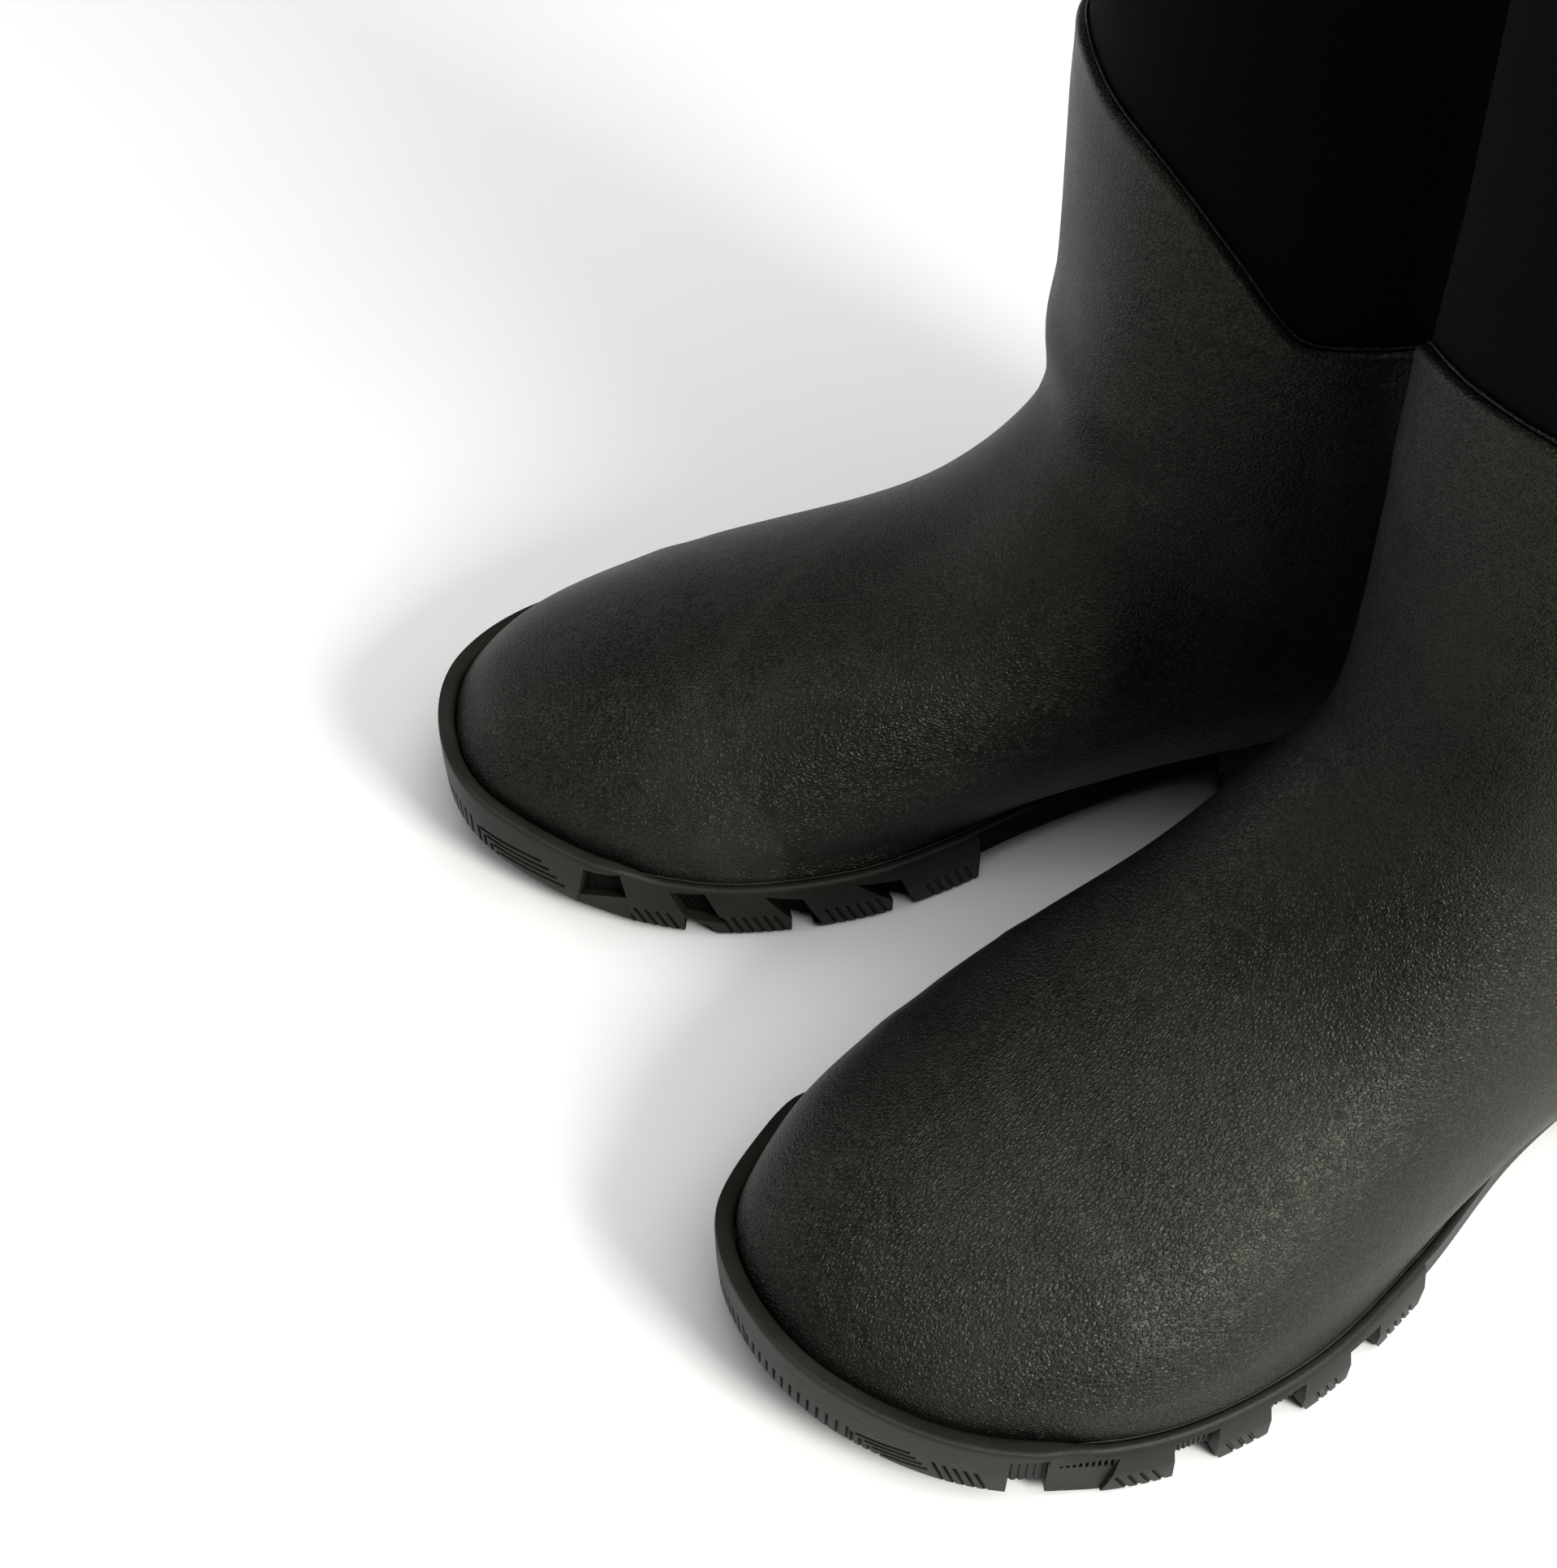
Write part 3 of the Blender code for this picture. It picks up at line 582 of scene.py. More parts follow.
def tread_cutters(wall):
    """Groups of closed cutters; those in one group don't meet."""
    edge = Outline(0.0)

    def wide(_):
        return 80.0, -80.0

    def inner(x):
        return edge.y(x, 1) - SLOT_REACH, edge.y(x, -1) + SLOT_REACH

    def medial(_):
        return 2.0, -80.0

    def level(height):
        return lambda x: height

    def top(drop):
        return lambda x: tread_top(x) - drop

    under = level(-6.0)
    groups = [
        [block(np.linspace(HEEL_BREAST, WAIST_FRONT, 24), wide, under, top(0.0))],
        [block(np.linspace(WAIST_FRONT - 1, TOE_BLOCK_START, 30), inner, under, top(0.05))],
        [block(np.linspace(WAIST_FRONT - 1, WAIST_ENDS[-1], 4), medial, under, top(-0.02))],
    ]
    slots, windows, ribs = [], [], []
    for side in (1, -1):
        for corners in SLOTS[side]:
            slots.append(side_block(wall, side, corners, -3.0, SLOT_REACH - 1))
        for corners in WINDOWS[side]:
            windows.append(side_block(wall, side, corners, -2.0, WINDOW_DEPTH))
            heel_low, toe_low, toe_high, heel_high = np.array(corners, float)
            count = int(np.linalg.norm(toe_high - heel_high) / 1.35)
            for part in (np.arange(count) + 0.5) / count:  # ribs on the opening's floor
                low, high = heel_low + (toe_low - heel_low) * part, heel_high + (toe_high - heel_high) * part
                low = low + (high - low) * max(0.06, (0.5 - low[1]) / (high[1] - low[1]))
                path = [low, low + (high - low) * 0.94]
                ribs.append(prism(wall, path, (0.75, 0.45), (WINDOW_DEPTH - 0.3, WINDOW_DEPTH + 0.38), side))
    facets = [side_block(wall, side, FACETS[side], -2.0, FACET_DEPTH[side]) for side in (1, -1)]
    for x in np.arange(246.0, 257.6, 1.3):  # and under the lateral facet's edge
        high = 14.2 + (x - 244.5) * 2.4 / 13.5 + 0.1
        ribs.append(prism(wall, [(x, high - 3.4), (x, high)], (0.95, 0.6), (1.1, 2.3), 1))
    waists = []
    for side, end in WAIST_ENDS.items():
        corners = ((-3.0, -6.0), (-3.0, 40.0), (WAIST_SET_BACK, 40.0), (WAIST_SET_BACK, -6.0))
        spots = np.linspace(wall.s_of(HEEL_BREAST + 2, side), wall.s_of(end, side), 30)
        waists.append(loft([[(*wall.point(s, depth), z) for depth, z in corners] for s in spots]))
    groups.append(waists)
    groups += [slots, windows, facets, ribs]
    groups.append([block(np.array(ends), wide, under, level(HEEL_LUG_HEIGHT)) for ends in HEEL_GAPS])
    groups.append([block(np.linspace(33, HEEL_BREAST + 1, 12), inner, under, level(HEEL_LUG_HEIGHT - 0.1))])
    return groups


def grooves(wall):
    """Fine grooves in the side wall: slanted on the lugs, chevrons round the toe, serrations at the waist."""
    cuts = []
    broad, fine = ((1.5, 0.6), (-0.3, 1.2)), ((1.3, 0.5), (-0.3, 1.0))  # widths and depths
    for side in (1, -1):
        for x0, x1 in LUGS[side]:
            for x in np.arange(x0 + 1.0, x1 - 2.0, 2.7):
                foot, height = ground(x), rim(x) * 0.47
                path = [(x - 0.6, foot - 0.5), (x + 1.4, foot + (height - foot) * 0.5), (x + 3.0, height)]
                cuts.append(prism(wall, path, *broad, side))
        for x in np.arange(97, 160, 2.1):
            low = tread_top(x)
            cuts.append(prism(wall, [(x, low - 0.8), (x + 0.1, low + 1.9)], (1.1, 0.3), (-0.3, 0.55), side))
    for side in (1, -1):
        first = wall.s_of(269.5, side)
        reach = abs((wall.length - first) if side < 0 else first)

        def spot(d, part, side=side):
            x = wall_x(wall, d, side)
            low, high = ground(x), bumper(x)
            return wall_s(wall, d, side), low + (high - low) * part

        apex, stop = reach * 0.52, reach * (0.97 if side < 0 else 0.78)
        low_wall = 1.0 if side < 0 else 0.8
        for k in range(4):  # nested: an upright stroke to the apex, then an arm that runs back along the wall
            level, rise, start = (0.38 - 0.085 * k) * low_wall, (0.17 - 0.02 * k) * low_wall, apex + 2.0 * k
            end = apex + (stop - apex) * (0.76 + 0.08 * k)
            arm = [spot(start + (end - start) * part, level + rise * part) for part in np.linspace(0, 1, 9)]
            cuts.append(wall_prism(wall, arm, *broad))
            cuts.append(wall_prism(wall, [spot(start - 0.8, -0.02), spot(start - 0.8, level)], *broad))
        for d in np.arange(0.4, apex - 2.0, 2.5):
            cuts.append(wall_prism(wall, [spot(d, -0.02), spot(d + 0.4, 0.46 * low_wall)], *fine))
        for d in np.arange(stop + 1.0, reach - 3.2, 2.3):
            cuts.append(wall_prism(wall, [spot(d + 3.0, -0.02), spot(d, 0.42)], *fine))
    for d in np.arange(-14, 15, 3.5):  # the back of the heel
        cuts.append(wall_prism(wall, [(wall.back + d, 1.0), (wall.back + d, 13.5)], *fine))
    return cuts


def wall_s(wall, d, side):
    """Place on the wall at a distance from the toe tip, along one side."""
    return d if side > 0 else wall.length - d


def wall_x(wall, d, side):
    return wall.point(wall_s(wall, d, side), 0.0)[0]


def painted_shade_faces(mesh, side):
    """1 for each face on the medial side that lies well inside the sole's outline, and 0 for the rest; the 1s
    take the darker rubber of painted shade.
    """
    outline = Outline(PAINTED_SHADE_INSET)
    rest = np.empty(len(mesh.vertices) * 3, np.float32)
    mesh.attributes["rest"].data.foreach_get("vector", rest)
    rest = rest.reshape(-1, 3) - (0, REST_SHIFT[side], 0)
    result = []
    for face in mesh.polygons:
        x, y, z = rest[list(face.vertices)].mean(0)
        medial = outline.y(x, -1) < y < at(RIDGE, x)
        result.append(medial and z < rim(x) - 2.5 and outline.back < x < outline.tip)
    return np.array(result, np.int32)


def carve(target, groups, operation, side):
    """Boolean of the target with each group of closed solids."""
    for group in groups:
        points, faces = joined(group)
        helper = make_object("cutter", points, faces, side)
        change = target.modifiers.new("Cut", "BOOLEAN")
        change.operation = operation
        change.object = helper
        change.solver = "MANIFOLD"
        cut = bpy.data.meshes.new_from_object(target.evaluated_get(bpy.context.evaluated_depsgraph_get()))
        target.modifiers.clear()
        old, name = target.data, target.data.name
        target.data = cut
        bpy.data.meshes.remove(old)
        bpy.data.meshes.remove(helper.data)
        cut.name = name


def make_outsole(side, wall):
    outsole = make_object(f"{side}_outsole_rubber", *sole_body(), side)
    carve(outsole, tread_cutters(wall), "DIFFERENCE", side)
    lugs = []
    for start in CENTRE_LUGS:
        steps, halves = np.array([0.0, 2.5, 9.5, 12.0]), (10.5, 13.0, 13.0, 10.5)  # cut corners

        def sides(x, start=start):
            half = np.interp(x - start, steps, halves)
            return at(RIDGE, x) + half, at(RIDGE, x) - half

        lugs.append(block(start + steps, sides, ground, lambda x: tread_top(x) + 1.0))
    carve(outsole, [lugs], "UNION", side)
    cuts = grooves(wall)
    carve(outsole, [cuts[k::3] for k in range(3)], "DIFFERENCE", side)
    set_rest(outsole.data, side)
    outsole.data.materials.clear()
    outsole.data.shade_smooth()
    outsole.data.set_sharp_from_angle(angle=math.radians(32))
    return outsole


# The upper


RUBBER_ROWS, SOCK_ROWS = (46, 50, 22), (14, 20, 10)  # of the foot: toe, waist and heel
FOLD_HEIGHT = {"left": 172.0, "right": 130.0}
FOLD_PUSH = {"left": 0.5, "right": 1.5}
LOOP_PATH = (
    (0.75, 341), (0.75, 372), (0.8, 390), (0.95, 396), (0.5, 398.6), (-0.4, 399.5), (-1.3, 398.6),
    (-1.75, 396), (-1.8, 390), (-1.65, 372), (-1.65, 340),
)
LOOP_STITCHES = (
    ((-9.5, 343.5), (9.5, 343.5)), ((-9.5, 367), (9.5, 367)), ((-9.5, 343.5), (-9.5, 367)),
    ((9.5, 343.5), (9.5, 367)), ((-9.5, 343.5), (9.5, 367)), ((-9.5, 367), (9.5, 343.5)),
)


def ripple(points, normals, side):
    """Small swells, a soft ridge where the toe puff ends, and folds at the instep."""
    moved = np.array(points, float)
    flat, turned = moved.reshape(-1, 3), normals.reshape(-1, 3)
    for k, (x, y, z) in enumerate(flat):
        where = Vector((x, y + REST_SHIFT[side], z))
        push = 0.18 * noise.noise(where / 38) + 0.06 * noise.noise(where / 15) - 0.6 * smoothstep(z, 24, 40)
        over = smoothstep(z, 30, 42)
        push += 0.35 * over * math.exp(-(((x - 237) / 4.5) ** 2)) * (x > 200)
        push -= 0.15 * over * math.exp(-(((x - 228) / 5.0) ** 2)) * (x > 200)
        fold = z - FOLD_HEIGHT[side] + 0.22 * (x - 145)
        front = smoothstep(x, 118, 142)
        wave = math.exp(-(((fold - 3) / 8.0) ** 2)) - 0.5 * math.exp(-(((fold + 12) / 7.0) ** 2))
        push += front * FOLD_PUSH[side] * wave
        flat[k] += push * turned[k]
    return moved


def grid_normals(grid):
    """Outward normals of a grid whose rows run from the lateral side over the front to the medial side."""
    rows, columns = np.gradient(grid, axis=0), np.gradient(grid, axis=1)
    normals = np.cross(columns, rows)
    length = np.linalg.norm(normals, axis=2, keepdims=True)
    normals = normals / np.maximum(length, 1e-9)
    middle = np.s_[len(grid) // 2 :]
    if (normals[middle] * (grid - np.array([90.0, 0.0, 0.0]))[middle])[..., :2].sum() < 0:
        normals = -normals
    return normals


def eased(grid, lift):
    """The grid's rows smoothed into each other about the plane where the sections start to fan out."""
    grid = grid.copy()
    near = np.exp(-(((grid[..., 0] - PIVOT[0]) / 42.0) ** 2)) * lift * (grid[..., 2] < PIVOT[1])
    for _ in range(60):
        average = 0.25 * grid[:-2] + 0.5 * grid[1:-1] + 0.25 * grid[2:]
        grid[1:-1] += (average - grid[1:-1]) * near[1:-1, :, None]
    return grid


def blend_boot(obj):
    """Bakes the piece's placement into its mesh."""
    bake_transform(obj)


def make_rubber(side):
    columns = (16, 30)
    skins = {depth: Skin(depth, columns) for depth in (0.0, 0.12, 0.45, 0.95, 1.6, 2.4)}
    outer, inner = skins[0.0], skins[2.4]
    base_out, open_rows = outer.foot_rows(*RUBBER_ROWS)
    base_in, _ = inner.foot_rows(*RUBBER_ROWS)
    top = topline(outer.ring(190.0))
    rows_out, rows_in = [], []
    for part in np.linspace(0, 1, 17)[1:]:
        heights = PIVOT[1] + (top - 3.2 - PIVOT[1]) * part
        rows_out.append(outer.level(heights))
        rows_in.append(inner.level(heights))
    for depth, drop in ((0.0, 2.3), (0.12, 1.4), (0.45, 0.6), (0.95, 0.15), (1.6, 0.0)):
        rows_out.append(skins[depth].level(top - drop))
        rows_in.append(inner.level(top - drop - 0.12))
    grid_out, used = with_skirts(base_out + rows_out, open_rows)
    grid_in, _ = with_skirts(base_in + rows_in, open_rows)
    grid_out = np.array(grid_out)
    fade = np.ones(grid_out.shape[:2])
    fade[-7:] = np.linspace(1, 0.25, 7)[:, None]
    lift = smoothstep(grid_out[..., 2] - rim(grid_out[..., 0]), 0.0, 7.0)
    lift[len(base_out) :] = 1.0
    grid_out = eased(grid_out, lift)
    normals = grid_normals(grid_out)
    grid_out = ripple(grid_out, normals * (fade * lift)[..., None], side)
    boot = make_object(f"{side}_rubber_overlay", *shell(grid_out, grid_in, used), side, sharp=60)
    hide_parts(*(f"{side}_rubber_{part}" for part in ("foot", "ankle", "shaft")))
    blend_boot(boot)
    return boot


def sock(name, layer, side, columns, parts):
    """Closed layer of the upper from the sole to the cuff, replacing its three CAD zones."""
    grids = []
    for depth in layer:
        skin = Skin(depth, columns)
        rows, open_rows = skin.foot_rows(*SOCK_ROWS)
        rows += [skin.ring(height) for height in np.linspace(PIVOT[1], SHAFT_TOP, parts)[1:]]
        grid, used = with_skirts(rows, open_rows)
        grids.append(np.array(grid))
    if name == "neoprene":
        normals = grid_normals(grids[0])
        flat, turned = grids[0].reshape(-1, 3), normals.reshape(-1, 3)
        for k, (x, y, z) in enumerate(flat):
            above = smoothstep(z, 196, 225) * (1 - smoothstep(z, 350, 374))
            where = Vector((x / 46, (y + REST_SHIFT[side]) / 46, z / 30))
            flat[k] += above * 0.5 * (noise.noise(where) - 0.35) * turned[k]
    made = make_object(f"{side}_{name}_sock", *shell(*grids, used), side, sharp=60)
    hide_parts(*(f"{side}_{name}_{part}" for part in ("foot", "ankle", "shaft")))
    blend_boot(made)
    return made


def ring_sweep(profile):
    """Closed ring round the shaft with a closed profile of (depth, height) corners."""
    return loft([Skin(depth, (18, 22)).ring(height)[:-1] for depth, height in profile], closed=True)


def stitches(path, pitch, gap, radius):
    """Row of short threads lying along a path of points."""
    path = np.array(path, float)
    reach = run_of(path)
    parts = []
    for start in np.arange(0, reach[-1] - pitch, pitch):
        spots = start + (pitch - gap) * np.array([0.0, 0.15, 0.5, 0.85, 1.0])
        line = [point_at(spot, reach, path) for spot in spots]
        parts.append(tube(line, radius * np.array([0.35, 0.85, 1.0, 0.85, 0.35]), 6, closed=False))
    return parts


def with_threads(side, name, node, base, threads, looks):
    """One object of a strip and its threads, in place of a CAD node; looks has a material for each."""
    made = make_object(f"{side}_{name}", *joined([base, *threads]), side)
    for look in looks:
        made.data.materials.append(look)
    numbers = np.ones(len(made.data.polygons), np.int32)
    numbers[: len(base[1])] = 0
    made.data.polygons.foreach_set("material_index", numbers)
    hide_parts(f"{side}_{node}")
    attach(made, f"{side}_shaft")


def back_line(skin, height, ys):
    """Points across the back of the shaft at one height."""
    ring = skin.ring(height)
    reach = (ring[:, 0].max() - ring[:, 0].min()) / 2
    half, back = ring[:, 1].max(), ring[:, 0].min()
    return [(back + reach * (1 - math.sqrt(1 - (y / half) ** 2)), y, height) for y in ys]


def back_patch(depths, ys, heights):
    """Closed strip that follows the back of the shaft, thinned at its edges."""
    grids, thin = [], 0.45
    for order, depth in enumerate(depths):
        skin = Skin(depth, (6, 6))
        grid = np.array([back_line(skin, height, ys) for height in heights])
        if order == 0:
            grid[:, [0, -1], 0] += thin
            grid[[0, -1], :, 0] += thin
        grids.append(grid)
    return shell(*grids)


def make_cuff_edge(side, looks):
    """Bound edge folded over the top of the shaft and sewn through."""
    out, into = NEOPRENE[0] - 1.35, LINING[1] + 1.35
    low, high = SHAFT_TOP - 12.0, SHAFT_TOP + 0.3
    profile = [(out + 1.1, low), (out + 0.3, low), (out, low + 0.5), (out, high - 1.6)]
    middle, reach = (out + into) / 2, (into - out) / 2
    for turn in np.linspace(math.pi, 0, 9):
        profile.append((middle + reach * math.cos(turn), high - 1.4 + 2.6 * math.sin(turn)))
    profile += [(into, low + 0.5), (into - 0.3, low), (into - 1.1, low)]
    profile += [(into - 1.1, high), (out + 1.1, high)]
    threads = []
    for depth in (out - 0.08, into + 0.08):
        threads += stitches(Skin(depth, (18, 22)).ring(low + 2.4), 3.4, 0.8, 0.26)
    with_threads(side, "cuff_edge", "cuff_binding", ring_sweep(profile), threads, looks)


def make_seam_tape(side, looks):
    """Tape over the seam at the back of the shaft, with a row of stitches near each edge."""
    heights = np.linspace(TOPLINE[-1][1] + 3.0, SHAFT_TOP - 12.4, 26)
    strip = back_patch((1.7, 2.95), np.linspace(-7, 7, 9), heights)
    skin, threads = Skin(1.62, (6, 6)), []
    for y in (-4.6, 4.6):
        path = [back_line(skin, height, [y])[0] for height in heights[1:-1]]
        threads += stitches(path, 3.2, 0.8, 0.24)
    with_threads(side, "seam_tape", "back_seam_tape", strip, threads, looks)


def make_pull_loop(side, looks):
    """Webbing folded over at its top and sewn down with a crossed box."""
    spine = Skin(1.3, (6, 6))
    ys = np.linspace(-12, 12, 13)
    path = smooth_curve(LOOP_PATH, steps=3)
    normal = offset_curve(path, 0.55) - path
    thinned = 1 - 0.2 * (np.abs(ys) > 11.5)
    grids = []
    for sign in (1, -1):
        rows = []
        for (back, height), (dx, dz) in zip(path, normal * sign):
            line = np.array(back_line(spine, min(height, 395.0), ys))
            line[:, 0] += back + dx * thinned
            line[:, 2] = height + dz * thinned
            rows.append(line)
        grids.append(np.array(rows))
    threads = []
    for start, end in LOOP_STITCHES:
        path = []
        for y, z in np.linspace(start, end, 12):
            path.append((back_line(spine, z, [y])[0][0] - 2.27, y, z))
        threads += stitches(path, 2.9, 0.7, 0.24)
    with_threads(side, "pull_loop", "pull_tab", shell(*grids), threads, looks)


def make_beads(side):
    """The cement line where the upper meets the sole, and the one along the rubber's top edge."""
    curve = offset_curve(smooth_curve(SOLE_OUTLINE, closed=True), -(CUP_WALL + 0.8), closed=True)
    curve = np.roll(curve, -int(np.argmax(curve[:, 0])), 0)
    reach = run_of(curve)
    path, radius = [], []
    for spot in np.arange(0, reach[-1], 1.3):
        x, y = point_at(spot, reach, curve)
        if x < BEAD_END:
            wobble = noise.noise(Vector((x / 2.0, y / 2.0, 5.0)))
            path.append((x, y, rim(x) + 0.02 + 0.2 * wobble))
            radius.append((0.3 + 0.12 * wobble) * smoothstep(BEAD_END - x, -2, 9))
    feather = make_object(f"{side}_feather_bead", *tube(path, np.array(radius), 8, closed=False), side)
    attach(feather, f"{side}_foot")

    skin = Skin(2.55, (20, 26))
    ring = skin.ring(190.0)
    top = topline(ring)
    line = skin.level(top + 0.55)[:-1]
    wobble = np.array([noise.noise(Vector((p[0] / 3, p[1] / 3, 9.0))) for p in line])
    line[:, 2] += 0.15 * wobble
    bead = make_object(f"{side}_topline_bead", *tube(line, 0.3 + 0.05 * wobble, 8, squash=1.2), side)
    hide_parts(f"{side}_topline_trim")
    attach(bead, f"{side}_shaft")
    return feather, bead


def make_footbed(side):
    """Moulded foam footbed: dished at the heel, with a soft edge."""
    outline = Outline(LAST_INSET)
    across = np.sin(np.linspace(-1, 1, 15) * math.pi / 2)
    grids = []
    for top in (True, False):
        rows = []
        for x in outline.stations(60):
            left, right = outline.y(x, 1), outline.y(x, -1)
            middle, half = (left + right) / 2, (left - right) / 2
            low = rim(x) - SOCK_DROP + BOARD_LIFT + BED_GAP
            row = []
            for part in across:
                edge = 1 - abs(part)
                height = low
                if top:
                    ends = min(x - outline.back, outline.tip - x) / 2.5 + 0.02
                    soft = min(1.0, edge * half / 2.5, ends)
                    height += 0.8 + 3.0 * math.sqrt(max(0.0, 1 - (1 - soft) ** 2))
                    dish = math.exp(-(((x - 48) / 30) ** 2)) + 0.6 * math.exp(-(((x - 215) / 38) ** 2))
                    height -= 1.3 * dish * (1 - part**2) ** 2 * soft
                row.append((x, middle + half * part, height))
            rows.append(row)
        grids.append(np.array(rows))
    bed = make_object(f"{side}_moulded_footbed", *shell(*grids), side, sharp=50)
    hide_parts(f"{side}_footbed")
    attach(bed, f"{side}_foot")
    return bed


# Materials


class Tree:
    """Short way to write a material's nodes."""

    def __init__(self, name, rest=True):
        self.material = bpy.data.materials.new(name)
        self.material.use_nodes = True
        self.tree = self.material.node_tree
        self.tree.nodes.clear()
        self.output = self.tree.nodes.new("ShaderNodeOutputMaterial")
        self.shader = self.tree.nodes.new("ShaderNodeBsdfPrincipled")
        self.tree.links.new(self.shader.outputs[0], self.output.inputs[0])
        if rest:
            attribute = self.add("ShaderNodeAttribute", attribute_name="rest")
            self.place = attribute.outputs["Vector"]
        else:
            coordinate = self.add("ShaderNodeTexCoord")
            self.place = self.scaled(coordinate.outputs["Object"], (1000, 1000, 1000))

    def add(self, kind, inputs=(), **settings):
        node = self.tree.nodes.new(kind)
        for key, value in settings.items():
            setattr(node, key, value)
        for key, value in dict(inputs).items():
            self.set(node.inputs[key], value)
        return node

    def set(self, socket, value):
        if isinstance(value, bpy.types.NodeSocket):
            self.tree.links.new(value, socket)
        else:
            socket.default_value = value

    def scaled(self, vector, scale, turn=(0, 0, 0)):
        node = self.add("ShaderNodeMapping", {"Vector": vector, "Scale": scale, "Rotation": turn})
        return node.outputs[0]

    def noise(self, scale, detail=3.0, rough=0.5, vector=None, distortion=0.0):
        vector = self.place if vector is None else vector
        values = {"Vector": vector, "Scale": scale, "Detail": detail, "Roughness": rough}
        values["Distortion"] = distortion
        return self.add("ShaderNodeTexNoise", values).outputs["Fac"]

    def cells(self, scale, vector=None, feature="F1"):
        values = {"Vector": self.place if vector is None else vector, "Scale": scale}
        return self.add("ShaderNodeTexVoronoi", values, feature=feature).outputs["Distance"]

    def wave(self, scale, vector):
        values = {"Vector": vector, "Scale": scale}
        return self.add("ShaderNodeTexWave", values, bands_direction="DIAGONAL").outputs["Fac"]

    def math(self, operation, a, b=0.0, c=0.0):
        return self.add("ShaderNodeMath", {0: a, 1: b, 2: c}, operation=operation).outputs[0]

    def span(self, value, low, high, to_low, to_high, smooth=False):
        values = {"Value": value, "From Min": low, "From Max": high, "To Min": to_low, "To Max": to_high}
        kind = "SMOOTHSTEP" if smooth else "LINEAR"
        return self.add("ShaderNodeMapRange", values, interpolation_type=kind).outputs[0]

    def mask(self, value, low, high, share=1.0):
        """Nothing up to the low value, and smoothly up to the share at the high one."""
        return self.span(value, low, high, 0.0, share, True)

    def mix(self, factor, a, b):
        node = self.add("ShaderNodeMix", {"Factor": factor}, data_type="RGBA")
        self.set(node.inputs["A"], a if isinstance(a, bpy.types.NodeSocket) else (*a, 1))
        self.set(node.inputs["B"], b if isinstance(b, bpy.types.NodeSocket) else (*b, 1))
        return node.outputs["Result"]

    def shift(self, vector, amount, scale):
        """Vector disturbed by noise, so that no pattern runs dead straight."""
        node = self.add("ShaderNodeTexNoise", {"Vector": self.place, "Scale": scale, "Detail": 2.0})
        centred = {0: node.outputs["Color"], 1: (0.5, 0.5, 0.5)}
        away = self.add("ShaderNodeVectorMath", centred, operation="SUBTRACT").outputs[0]
        far = self.add("ShaderNodeVectorMath", {0: away, "Scale": amount}, operation="SCALE").outputs[0]
        return self.add("ShaderNodeVectorMath", {0: vector, 1: far}, operation="ADD").outputs[0]

    def bump(self, height, distance):
        values = {"Height": height, "Distance": distance, "Strength": 1.0}
        return self.add("ShaderNodeBump", values).outputs[0]

    def finish(self, colour, roughness, relief, **others):
        inputs = {"Base_Color": colour, "Roughness": roughness, "Normal": relief, **others}
        for name, value in inputs.items():
            value = (*value, 1) if isinstance(value, tuple) else value
            self.set(self.shader.inputs[name.replace("_", " ")], value)
        return self.material


def times(colour, factor):
    return tuple(value * factor for value in colour)


def pebbled_rubber(name, dark, light, rough):
    """Rubber with a fine leathery grain of long cells, its seams darkened as painted shade, a dusty bloom and
    uneven sheen.
    """
    t = Tree(name)
    spread = t.shift(t.shift(t.place, 3.0, 0.16), 0.9, 0.9)
    long = t.scaled(spread, (0.5, 1.0, 1.0), (0.0, 0.25, 0.15))
    cells, seams = t.cells(1.3, long), t.cells(1.3, long, "DISTANCE_TO_EDGE")
    slanting = t.scaled(t.place, (1.0, 1.0, 1.0), (0.0, 0.0, 0.8))
    wiped = t.noise(0.022, 2.0, 0.5, t.scaled(slanting, (0.28, 1.6, 0.4)))
    second = t.add("ShaderNodeSeparateXYZ", {0: t.place}).outputs[1]
    wiped = t.math("MULTIPLY", wiped, t.span(second, 300.0, 400.0, 0.75, 1.0))
    fine, coarse = t.noise(3.4, 4.0, 0.6), t.noise(0.2)
    bloom = t.noise(0.018, 4.0, 0.55, distortion=0.6)
    streak = t.noise(0.05, 3.0, 0.6, t.scaled(t.place, (0.35, 1.6, 1.0)))
    grip = t.mask(seams, 0.0, 0.32)
    height = t.math("MULTIPLY_ADD", fine, 0.25, t.math("MULTIPLY", grip, t.span(cells, 0.0, 1.0, 1.0, 0.72)))
    height = t.math("MULTIPLY_ADD", coarse, 0.5, height)
    dusty = t.math("MULTIPLY", t.mask(bloom, 0.38, 0.68), t.span(streak, 0.3, 0.7, 0.35, 1.0))
    colour = t.mix(dusty, dark, light)
    colour = t.mix(t.mask(wiped, 0.56, 0.7, 0.6), colour, times(light, 1.8))
    # The grain's seams, where the bump sinks in, are darkened: painted shade in the crevices
    colour = t.mix(t.span(grip, 0.0, 1.0, 0.4, 0.0), colour, times(dark, 0.35))
    worn = t.span(bloom, 0.3, 0.7, rough - 0.04, rough + 0.07)
    roughness = t.math("ADD", worn, t.span(fine, 0.3, 0.7, -0.03, 0.05))
    relief = t.bump(height, 0.00016)
    return t.finish(colour, roughness, relief, Specular_IOR_Level=0.25, Specular_Tint=(1.0, 0.99, 0.87))


